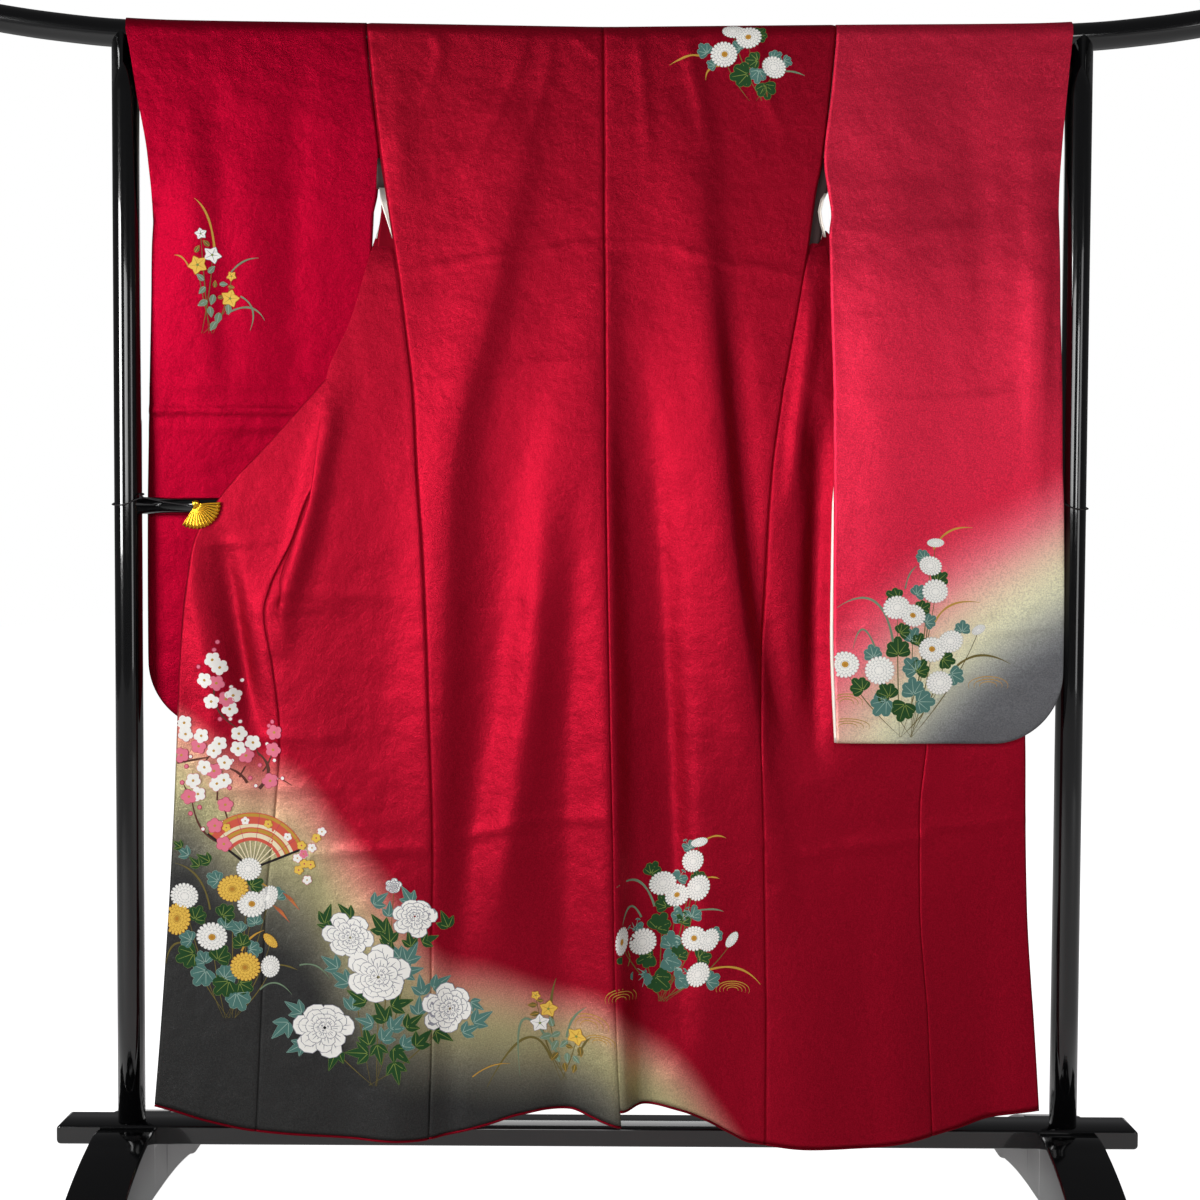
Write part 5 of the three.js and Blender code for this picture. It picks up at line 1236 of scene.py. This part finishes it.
BLADES = table("picture ax az bx bz cx cz width",
    (0, -550, 1382, -558, 1425, -576, 1450, 2), (0, -588, 1357, -597, 1369, -608, 1372, 1.5),
    (0, -534, 1340, -513, 1361, -487, 1368, 1.6), (0, -536, 1291, -502, 1299, -481, 1281, 1.8),
    (0, -515, 1315, -498, 1296, -502, 1267, 1.6), (1, 137, 1649, 117, 1647, 95, 1636, 2),
    (1, 174, 1636, 152, 1631, 146, 1615, 1.8), (1, 258, 1628, 271, 1627, 285, 1622, 1.6),
    (2, 465, 958, 487, 983, 520, 988, 1.8), (2, 409, 829, 381, 886, 331, 876, 2.2),
    (2, 386, 816, 367, 846, 354, 820, 1.8), (2, 466, 852, 490, 880, 531, 884, 1.8),
    (2, 493, 788, 530, 810, 575, 798, 2.2), (2, 425, 903, 431, 923, 442, 935, 1.4),
    (3, 81, 446, 58, 484, 26, 481, 2.2), (3, 62, 432, 46, 450, 35, 426, 1.8),
    (3, 152, 545, 167, 551, 181, 548, 1.6), (3, 155, 491, 163, 492, 172, 490, 1.4),
    (3, 141, 443, 162, 446, 178, 443, 1.6), (3, 158, 359, 199, 362, 231, 340, 2),
    (4, -62, 275, -66, 311, -59, 345, 2.4), (4, -44, 259, -35, 287, -16, 306, 2.2),
    (4, -58, 237, -105, 287, -110, 206, 2.2), (4, -66, 228, -104, 259, -157, 189, 2.4),
    (4, -27, 234, -19, 252, -9, 264, 2), (4, -178, 203, -152, 219, -124, 223, 1),
    (6, -552, 441, -569, 486, -602, 507, 1.8), (6, -580, 391, -604, 390, -615, 363, 1.8),
    (6, -507, 382, -494, 401, -475, 412, 1.8), (6, -453, 363, -440, 361, -427, 356, 1.4),
    (6, -481, 327, -458, 337, -435, 321, 1.4), (7, -424, 363, -400, 362, -381, 344, 1.4))
PLUMS = table("x z tone",
    (-548, 797, 0), (-538, 786, 0), (-559, 768, 0), (-549, 738, 0), (-520, 746, 0), (-524, 727, 0),
    (-587, 691, 0), (-564, 689, 0), (-589, 707, 0), (-511, 692, 0), (-492, 679, 0), (-546, 668, 0),
    (-538, 678, 0), (-512, 671, 0), (-560, 644, 0), (-531, 651, 0), (-542, 621, 0), (-532, 626, 0),
    (-576, 625, 0), (-569, 606, 0), (-529, 741, 1), (-542, 764, 1), (-461, 694, 1), (-501, 661, 1),
    (-568, 674, 1), (-593, 661, 1), (-546, 639, 1), (-582, 602, 1), (-467, 625, 1), (-530, 591, 1),
    (-545, 561, 1), (-532, 535, 1), (-463, 669, 1))
PLUM_BUDS = table("x z",
    (-542, 822), (-546, 811), (-568, 787), (-510, 767), (-523, 758), (-537, 713), (-523, 713), (-510, 709),
    (-464, 709), (-469, 703), (-472, 677), (-461, 654), (-482, 647), (-520, 654), (-586, 645), (-580, 659),
    (-495, 629), (-487, 618), (-524, 615), (-592, 622), (-580, 578), (-562, 556), (-567, 587), (-534, 565),
    (-458, 628), (-449, 629))
BRANCHES = table("ax az bx bz cx cz width",
    (-482, 614, -470, 641, -486, 665, 5), (-499, 622, -510, 635, -528, 644, 4),
    (-510, 630, -504, 642, -501, 645, 2.4), (-599, 650, -577, 654, -552, 659, 3),
    (-544, 761, -539, 725, -507, 696, 2.6), (-535, 536, -564, 556, -578, 598, 3),
    (-542, 597, -542, 619, -546, 638, 2.2), (-509, 694, -495, 682, -483, 660, 2.4),
    (-552, 661, -560, 649, -560, 639, 2), (-478, 638, -468, 655, -460, 681, 2.2),
    (-579, 597, -586, 612, -591, 621, 1.6), (-464, 631, -450, 627, -435, 619, 1.8),
    (-533, 588, -526, 565, -523, 538, 2.2))
SMALL_FLOWERS = table("x z tone",
    (-421, 534, 3), (-400, 545, 3), (-392, 554, 0), (-427, 516, 0), (-417, 508, 3), (-408, 507, 3),
    (-425, 499, 3), (-413, 485, 0), (-406, 531, 0), (-418, 522, 2))
BELLFLOWERS = table("picture x z radius tone",
    (0, -568, 1401, 8.6, 0), (0, -553, 1372, 12.9, 0), (0, -574, 1358, 14.3, 1), (0, -527, 1343, 7.2, 1),
    (0, -530, 1312, 13.6, 1), (4, -88, 321, 7, 2), (4, -70, 301, 13.3, 1), (4, -82, 281, 14, 0),
    (4, -30, 262, 14, 1))
PEONIES = table("x z radius squash",
    (-289, 478, 11.3, 0.9), (-259, 436, 32.4, 0.85), (-351, 404, 38, 0.85), (-310, 350, 46.5, 0.9),
    (-388, 274, 45.1, 0.88), (-210, 302, 35.2, 1.05))
WATER = table("picture x z wide high lines",
    (2, 544, 773, 27.9, 12.6, 3), (2, 346, 748, 22.3, 12.6, 3), (2, 348, 714, 30.7, 11.2, 3),
    (3, 192, 336, 23.8, 12.6, 4), (3, 33, 327, 22.4, 15.4, 4), (4, -12, 287, 28.1, 16.8, 3),
    (4, 3, 262, 22.5, 11.2, 3))


# ------------------------------------------------------------------ artwork on the silk

PAINTS = {
    "white": rgb(248, 246, 240), "silver": rgb(190, 190, 188), "pale": rgb(150, 150, 160),
    "gold": rgb(196, 150, 62), "yellow": rgb(236, 194, 84), "amber": rgb(190, 128, 44),
    "pink": rgb(232, 122, 146), "rose": rgb(196, 62, 96), "green": rgb(36, 74, 38),
    "lime": rgb(128, 146, 72), "teal": rgb(80, 122, 114), "mist": rgb(154, 180, 168),
    "olive": rgb(112, 100, 52), "sage": rgb(116, 138, 112), "branch": rgb(96, 56, 48),
    "ink": rgb(40, 34, 34), "coral": rgb(214, 92, 74), "cream": rgb(238, 224, 188)}
PAINT_NUMBER = {name: i for i, name in enumerate(PAINTS)}
paints = [material("paint_" + name, colour, 0.6, specular_ior_level=0.12)
          for name, colour in PAINTS.items()]
PAINT_LIFT = 0.28                # millimetres from the cloth to the lowest layer of paint
LAYER = 0.07                     # between layers
DEEPEST_STEP = 5.0               # a patch that drops further than this is past the cloth's edge
TAU = 2 * math.pi
# Petals and leaves: places from base to tip, and the half width there as a share of the widest.
ROUND_TIP = ((0.0, 0.3, 0.62, 0.88, 1.0), (0.42, 0.72, 1.0, 0.84, 0.5))
BROAD_TIP = ((0.0, 0.3, 0.66, 0.86, 1.0), (0.3, 0.66, 1.0, 0.92, 0.3))
LOBE_TIP = ((0.0, 0.25, 0.6, 0.86, 1.0), (0.35, 0.75, 1.0, 0.86, 0.4))
SHARP_TIP = ((0.0, 0.22, 0.48, 0.76, 1.0), (0.25, 0.85, 1.0, 0.55, 0.06))


def wobble(x, z):
    """A number from -1 to 1 that differs from place to place."""
    return math.sin(12.9 * x + 7.8 * z)


def heading(angle):
    return np.array([math.cos(angle), math.sin(angle)])


def spoke(angle, reach, shares):
    """Points along a direction, at shares of the reach."""
    return np.array(shares)[:, None] * reach * heading(angle)


class Spot:
    """Where a flower lies: its own flat directions, squashed and turned as it leans."""

    def __init__(self, x, z, squash=1.0, lean=0.0):
        across, up = heading(math.radians(lean)), heading(math.radians(lean + 90))
        self.matrix = np.array([across, up * squash])
        self.centre = np.array([x, z])

    def put(self, points):
        """Points round the flower's own centre, as (x, z) on the cloth."""
        return points @ self.matrix + self.centre


class Picture:
    """Painted patches, as (x, z, lift) points that are laid on the cloth at the end."""

    def __init__(self):
        self.points, self.faces, self.slots, self.count = [], [], [], 0

    def patch(self, line, widths, paint, layer, spot=None, across=1):
        """A patch along a line, widths[i] to each side of it; drawn in the spot's directions."""
        line = np.asarray(line, float)
        along = np.gradient(line, axis=0)
        along /= np.linalg.norm(along, axis=1, keepdims=True)
        side = np.stack((along[:, 1], -along[:, 0]), -1)
        offsets = np.linspace(-1, 1, across + 1)
        grid = line[:, None] + side[:, None] * (np.asarray(widths)[:, None] * offsets)[..., None]
        flat = grid.reshape(-1, 2)
        flat = flat if spot is None else spot.put(flat)
        lift = np.full((len(flat), 1), PAINT_LIFT + LAYER * layer)
        self.points.append(np.hstack((flat, lift)))
        faces = quads(len(line), across + 1) + self.count
        self.faces.append(faces)
        self.slots += [PAINT_NUMBER[paint]] * len(faces)
        self.count += len(flat)

    def petal(self, spot, angle, inner, outer, half, paint, layer, edge,
              rim=0.5, form=ROUND_TIP, across=1):
        """A petal that points outward, over a rim of its edge's colour."""
        shares, widths = (np.array(column) for column in form)
        for grown, colour, level in ((rim, edge, layer), (0.0, paint, layer + 1)):
            reach = inner + (outer + grown - inner) * shares
            self.patch(spoke(angle, 1.0, reach), widths * half + grown, colour, level, spot, across)

    def disc(self, spot, radius, paint, layer, x=0.0, z=0.0):
        """A round patch; x and z place it in the spot's own directions."""
        share = np.sin(np.linspace(-math.pi / 2, math.pi / 2, 7)) * 0.985
        line = np.stack((x + radius * share, np.full(7, z)), -1)
        self.patch(line, radius * np.sqrt(1 - share ** 2), paint, layer, spot, 2)

    def sweep(self, a, b, c, width, paint, layer, steps=12, ends=(0.5, 0.15)):
        """A tapered stroke from a past b to c."""
        t = np.linspace(0, 1, steps)[:, None]
        a, b, c = (np.asarray(p, float) for p in (a, b, c))
        middle = 2 * b - (a + c) / 2
        line = (1 - t) ** 2 * a + 2 * t * (1 - t) * middle + t ** 2 * c
        swell = np.sin(np.linspace(0, math.pi, steps))
        taper = lerp(ends[0], ends[1], t[:, 0])
        self.patch(line, width / 2 * np.maximum(taper, swell * 0.9) + 0.12, paint, layer)

    def lay(self, name, tree):
        """Lays the patches on the first cloth behind them, and leaves out those that miss it."""
        points, faces, slots = np.concatenate(self.points), np.concatenate(self.faces), np.array(self.slots)
        placed = np.full((len(points), 3), np.nan)
        for i, (x, z, lift) in enumerate(points):
            hit = tree.ray_cast(Vector((x * MM, -0.3, z * MM)), Vector((0, 1, 0)), 0.4)[0]
            if hit is not None:
                placed[i] = x, hit.y / MM - lift, z
        depth = placed[faces][..., 1]
        kept = np.nan_to_num(np.ptp(depth, axis=1), nan=1e3) < DEEPEST_STEP
        faces, slots = faces[kept], slots[kept]
        used, renumbered = np.unique(faces, return_inverse=True)
        make(name, placed[used], renumbered.reshape(faces.shape).tolist(), paints, slots)


def chrysanthemum(picture, x, z, radius, squash, lean, core):
    """Rings of fine petals: core 0 is white, 1 has a gold heart, 2 is yellow and 3 both."""
    spot = Spot(x, z, squash, lean)
    fill, edge = ("yellow", "amber") if core >= 2 else ("white", "silver")
    for ring, (count, outer) in enumerate(((21, 1.0), (17, 0.77), (12, 0.53), (7, 0.3))):
        half = outer * radius * math.sin(math.pi / count) * 0.82
        for i in range(count):
            angle = (i + 0.5 * (ring % 2)) * TAU / count
            reach = outer * radius * (1 + 0.05 * wobble(x + i, z + ring))
            picture.petal(spot, angle, 0.12 * radius, reach, half, fill, 6 + 3 * ring + 0.6 * (i % 2), edge)
    picture.disc(spot, 0.2 * radius, fill, 19)
    if core in (1, 3):
        picture.disc(spot, 0.24 * radius, "gold", 20)
        picture.disc(spot, 0.12 * radius, "amber", 21)


# A leaf's lobes as (degrees, reach), their half width, form and columns, the rim round them, how far the
# base lies behind the leaf's place, and the veins' shares of the reach, widths and layer.
LOBED = {"lobes": ((-74, 0.72), (-38, 0.88), (0, 1.05), (38, 0.88), (74, 0.72)), "half": 0.27,
         "form": LOBE_TIP, "across": 1, "rim": 0.3, "behind": 0.45,
         "vein": (0.08, 0.5, 0.88), "vein_widths": (0.55, 0.4, 0.25), "vein_layer": 1.8}
PLAIN = {"lobes": ((0, 1.0),), "half": 0.3, "form": SHARP_TIP, "across": 2, "rim": 0.25, "behind": 0.5,
         "vein": (0.05, 0.5, 0.95), "vein_widths": (0.5, 0.4, 0.2), "vein_layer": 1.6}
POINTED = {**PLAIN, "lobes": ((-44, 0.72), (0, 1.08), (44, 0.72)), "half": 0.21}
# Each kind's paint, its veins' paint, its scale and its form.
LEAF_KINDS = (("green", "lime", 1.42, LOBED), ("teal", "mist", 1.38, LOBED), ("sage", "mist", 1.3, PLAIN),
              ("green", "lime", 1.6, POINTED), ("teal", "mist", 1.6, POINTED),
              ("olive", "gold", 1.3, PLAIN))


def leaf(picture, x, z, size, kind, away):
    """A leaf of one of the kinds, which points along the away angle."""
    fill, vein, scale, form = LEAF_KINDS[int(kind)]
    turn = away + 0.9 * wobble(x, z)
    size = size * scale
    layer = 1 + 0.4 * (int(x + z) % 4)
    spot = Spot(*(np.array([x, z]) - form["behind"] * size * heading(turn)))
    for degrees, reach in form["lobes"]:
        angle = turn + math.radians(degrees)
        picture.petal(spot, angle, 0.0, reach * size, form["half"] * size, fill, layer, vein, form["rim"],
                      form["form"], form["across"])
        picture.patch(spoke(angle, reach * size, form["vein"]), form["vein_widths"], vein,
                      layer + form["vein_layer"], spot)


def blossom(picture, x, z, radius, tone):
    """A round five-petalled flower: 0 white, 1 pink, 2 pink and small, 3 yellow."""
    fill, edge = (("white", "pink"), ("pink", "rose"), ("pink", "white"), ("yellow", "amber"))[int(tone)]
    spot = Spot(x, z, 0.94, 40 * wobble(x, z))
    for i in range(5):
        px, pz = 0.55 * radius * heading(math.pi / 2 + i * TAU / 5)
        picture.disc(spot, 0.49 * radius, edge, 8 + 0.5 * i, px, pz)
        picture.disc(spot, 0.49 * radius - 0.5, fill, 11 + 0.5 * i, px, pz)
    picture.disc(spot, 0.17 * radius, "gold" if tone != 3 else "rose", 14.5)


def bellflower(picture, x, z, radius, tone):
    """A five-pointed flower, or a bud: 0 white, 1 yellow, 2 a small yellow bud."""
    fill, edge = (("white", "pale"), ("yellow", "amber"), ("yellow", "amber"))[int(tone)]
    spot = Spot(x, z, 0.9, 30 * wobble(x, z))
    for i in range(5):
        angle = math.pi / 2 + i * TAU / 5
        picture.petal(spot, angle, 0.0, radius, 0.42 * radius, fill, 7 + 0.5 * i, edge, 0.5, SHARP_TIP, 2)
        picture.patch(spoke(angle, radius, (0.1, 0.8)), (0.4, 0.2), edge, 11.5, spot)
    picture.disc(spot, 0.14 * radius, "lime", 12)


def peony(picture, x, z, radius, squash):
    """A full flower of broad, uneven petals, closed at its heart."""
    spot = Spot(x, z, squash, 25 * wobble(x, z))
    for ring, (count, outer) in enumerate(((6, 0.98), (7, 0.8), (6, 0.58), (5, 0.38), (3, 0.2))):
        for i in range(count):
            angle = (i + 0.5 * (ring % 2) + 0.3 * wobble(i, x)) * TAU / count
            reach = outer * radius * (1 + 0.14 * wobble(x + 3 * i, z))
            half = outer * radius * math.sin(math.pi / count) * 0.72
            layer = 6 + 3.2 * ring + 1.1 * (i % 3)
            picture.petal(spot, angle, 0.05 * radius, reach, half, "white", layer, "pale",
                          0.8, BROAD_TIP, 4)
            for lean in (-0.22, 0.0, 0.22):
                line = spoke(angle + lean, reach, (0.45, 0.7, 0.9 - 0.7 * abs(lean)))
                picture.patch(line, (0.25, 0.6, 0.2), "pale", layer + 2.1, spot)


def water(picture, x, z, wide, high, lines):
    """Gold ripples, one inside the other and open at the bottom."""
    for i in range(int(lines)):
        share = 1 - i / (lines + 0.5)
        angle = np.linspace(math.radians(200), math.radians(-20), 16)
        across, up = wide * share * np.cos(angle), high * (share * np.sin(angle) - 0.4)
        line = np.stack((x + across, z + up), -1)
        picture.patch(line, 0.16 + 0.42 * np.sin(np.linspace(0, math.pi, 16)), "gold", 0.2 * i)


FAN_ARC = (math.radians(22), math.radians(142))
FAN_RIBS = 11
# The leaf and its bands: inner and outer radius as shares of the fan's, paint and layer.
FAN_BANDS = ((0.5, 1.0, "coral", 4), (0.93, 0.985, "gold", 5.6), (0.56, 0.64, "cream", 5),
             (0.74, 0.80, "cream", 5), (0.66, 0.72, "gold", 5))
FAN_FLOWERS = ((42, 0.86, 0), (70, 0.85, 3), (98, 0.86, 0), (122, 0.86, 3))     # degrees, reach, tone


def folding_fan(picture, x, z, radius):
    """A folding fan of this model's own design, open, with a tasselled cord."""
    low, high = FAN_ARC
    spot = Spot(x, z)
    angle = np.linspace(high, low, 34)
    around = np.stack((np.cos(angle), np.sin(angle)), -1)
    for inner, outer, paint, layer in FAN_BANDS:
        middle, half = (inner + outer) / 2 * radius, (outer - inner) / 2 * radius
        picture.patch(around * middle, np.full(34, half), paint, layer, spot, 6)
    for i in range(FAN_RIBS):
        turn = lerp(low, high, i / (FAN_RIBS - 1))
        is_guard = i in (0, FAN_RIBS - 1)
        end, half, paint, layer = (1.0, 1.6, "ink", 7) if is_guard else (0.52, 0.8, "cream", 3.4)
        picture.patch(spoke(turn, radius, np.linspace(0.02, end, 8)), np.full(8, half), paint, layer, spot)
        if i % 2:
            picture.patch(spoke(turn, radius, np.linspace(0.5, 0.99, 8)), np.full(8, 0.3), "rose", 6, spot)
    for degrees, reach, tone in FAN_FLOWERS:
        px, pz = reach * radius * heading(math.radians(degrees))
        blossom(picture, x + px, z + pz, 6.4, tone)
    picture.disc(spot, 2.6, "gold", 9)
    # The cord hangs in two strands from the rivet, each with a tassel of five threads.
    for (bx, bz), (px, pz), paint in (((16, -22), (44, -34), "gold"), ((4, -30), (30, -52), "amber")):
        end = (x + px, z + pz)
        picture.sweep((x, z), (x + bx, z + bz), end, 2.0, paint, 2)
        for i in range(5):
            middle = (end[0] + 10, end[1] - 6 - i)
            tip = (end[0] + 16 + 2 * i, end[1] - 12 - 3 * i)
            picture.sweep(end, middle, tip, 1.4, ("coral", "gold")[i % 2], 3)


# The pictures in the order of their numbers.
PICTURE_NAMES = ("left_sleeve", "right_shoulder", "right_sleeve", "back_right", "back_centre", "left_plum",
                 "left_chrysanthemums", "left_peonies")
BODY = ("back_left", "back_right", "front_left", "front_right", "okumi_left")


def rows_of(tab, number=None):
    """A table's rows; with a number, those of that picture, without the picture's column."""
    for row in zip(*tab.values()):
        if number is None:
            yield row
        elif row[0] == number:
            yield row[1:]


def stems_to(picture, base, heads):
    """A fine stem from each flower's head down to the base of the spray."""
    bx, bz = base
    for x, z, size, *_rest in heads:
        foot = bx + 9 * wobble(x, z)
        start = z - 0.3 * size
        middle = ((x * 1.5 + foot) / 2.5, (start + bz) / 2)
        picture.sweep((x, start), middle, (foot, bz), 1.3, "olive", 0.3, 16)


def paint_picture(number):
    """One spray, from the stems and water up to the flowers; 5 has the plum and the fan, 7 the peonies."""
    picture = Picture()
    base = (BASES["x"][number], BASES["z"][number])
    heads = [*rows_of(CHRYSANTHEMUMS, number), *rows_of(BELLFLOWERS, number)]
    if number == 7:
        heads += rows_of(PEONIES)
    stems_to(picture, base, heads)
    for row in rows_of(WATER, number):
        water(picture, *row)
    for ax, az, bx, bz, cx, cz, width in rows_of(BLADES, number):
        paint = ("olive", "gold", "sage")[int(ax + az) % 3]
        picture.sweep((ax, az), (bx, bz), (cx, cz), width * 1.6, paint, 0.8, 16, (0.9, 0.1))
    for x, z, size, kind in rows_of(LEAVES, number):
        away = math.atan2(z - base[1] - 60, x - base[0])
        leaf(picture, x, z, size, kind, away)
    for row in rows_of(CHRYSANTHEMUMS, number):
        chrysanthemum(picture, *row)
    for row in rows_of(BELLFLOWERS, number):
        bellflower(picture, *row)
    if number == 5:
        for ax, az, bx, bz, cx, cz, width in rows_of(BRANCHES):
            picture.sweep((ax, az), (bx, bz), (cx, cz), width, "branch", 2, 14, (1.0, 0.4))
        for x, z in rows_of(PLUM_BUDS):
            picture.disc(Spot(x, z), 3.4, "rose", 4)
            picture.disc(Spot(x, z), 2.4, "white" if wobble(x, z) > 0 else "pink", 5)
        for x, z, tone in rows_of(PLUMS):
            blossom(picture, x, z, 11.5, tone)
        folding_fan(picture, -492, 500, 80)
    if number == 7:
        for row in rows_of(PEONIES):
            peony(picture, *row)
        for x, z, tone in rows_of(SMALL_FLOWERS):
            blossom(picture, x, z, 7.0, tone)
    return picture


def cloth_surface(names):
    """Some of the cloths as one surface to lay artwork on."""
    points, faces = [], []
    for name in names:
        mesh, first = cloths[name].data, len(points)
        points += [vertex.co.copy() for vertex in mesh.vertices]
        faces += [[first + i for i in face.vertices] for face in mesh.polygons]
    return BVHTree.FromPolygons(points, faces)


body_surface = cloth_surface(BODY)
for number, name in enumerate(PICTURE_NAMES):
    on_sleeve = name in ("left_sleeve", "right_sleeve")
    surface = cloth_surface(["sleeve_" + name.split("_")[0]]) if on_sleeve else body_surface
    paint_picture(number).lay("painted_" + name, surface)


# ------------------------------------------------------------------ light and floor

def area_light(name, place, aim, size, power, spread=180):
    """A soft light aimed at a point; its spread is in degrees."""
    data = bpy.data.lights.new(name, "AREA")
    data.shape = "RECTANGLE"
    data.size, data.size_y = size
    data.energy = power
    data.spread = math.radians(spread)
    lamp = bpy.data.objects.new(name, data)
    lamp.location = place
    lamp.rotation_euler = (Vector(aim) - Vector(place)).to_track_quat("-Z", "Y").to_euler()
    bpy.context.collection.objects.link(lamp)


area_light("key", (-3.3, -3.2, 1.7), (0.1, 0.0, 1.05), (1.3, 1.5), 27.0, 80)
area_light("front", (-0.35, -2.25, 1.45), (0.0, 0.0, 1.12), (1.0, 0.7), 2.9, 90)
area_light("sleeve", (1.3, -2.5, 1.4), (0.55, 0.0, 1.15), (0.5, 0.6), 0.3, 40)
area_light("fill", (3.0, -3.0, 1.3), (0.1, 0.0, 0.9), (1.0, 1.8), 11.0)
area_light("behind", (0.0, 3.2, 2.4), (0.0, 0.0, 0.9), (3.0, 2.0), 30.0)

world = bpy.data.worlds.new("studio")
bpy.context.scene.world = world
world.use_nodes = True
tree = world.node_tree
ground = tree.nodes["Background"]
ground.inputs["Color"].default_value = (0.62, 0.62, 0.64, 1.0)
ground.inputs["Strength"].default_value = 0.11
backdrop = node(tree, "Background", {"Color": (1.0, 1.0, 1.0, 1.0), "Strength": 1.0})
is_camera = node(tree, "LightPath").outputs["Is Camera Ray"]
mixed = node(tree, "MixShader", {0: is_camera, 1: ground.outputs[0], 2: backdrop.outputs[0]})
tree.links.new(mixed.outputs[0], tree.nodes["World Output"].inputs["Surface"])

# The floor glows a little, and more for the camera, so that it looks white in a soft light.
floor_finish = material("pale_floor", (0.92, 0.92, 0.92, 1.0), 0.8)
tree = floor_finish.node_tree
shader = tree.nodes["Principled BSDF"]
shader.inputs["Emission Color"].default_value = (1.0, 1.0, 1.0, 1.0)
seen = node(tree, "LightPath").outputs["Is Camera Ray"]
glow = maths(tree, "ADD", maths(tree, "MULTIPLY", seen, 0.85), 0.15)
tree.links.new(glow, shader.inputs["Emission Strength"])
plane = bpy.data.meshes.new("floor")
plane.from_pydata([(-8, -8, 0), (8, -8, 0), (8, 30, 0), (-8, 30, 0)], [], [(0, 1, 2, 3)])
plane.materials.append(floor_finish)
floor = bpy.data.objects.new("floor", plane)
bpy.context.collection.objects.link(floor)
bpy.context.scene.view_settings.view_transform = "Standard"
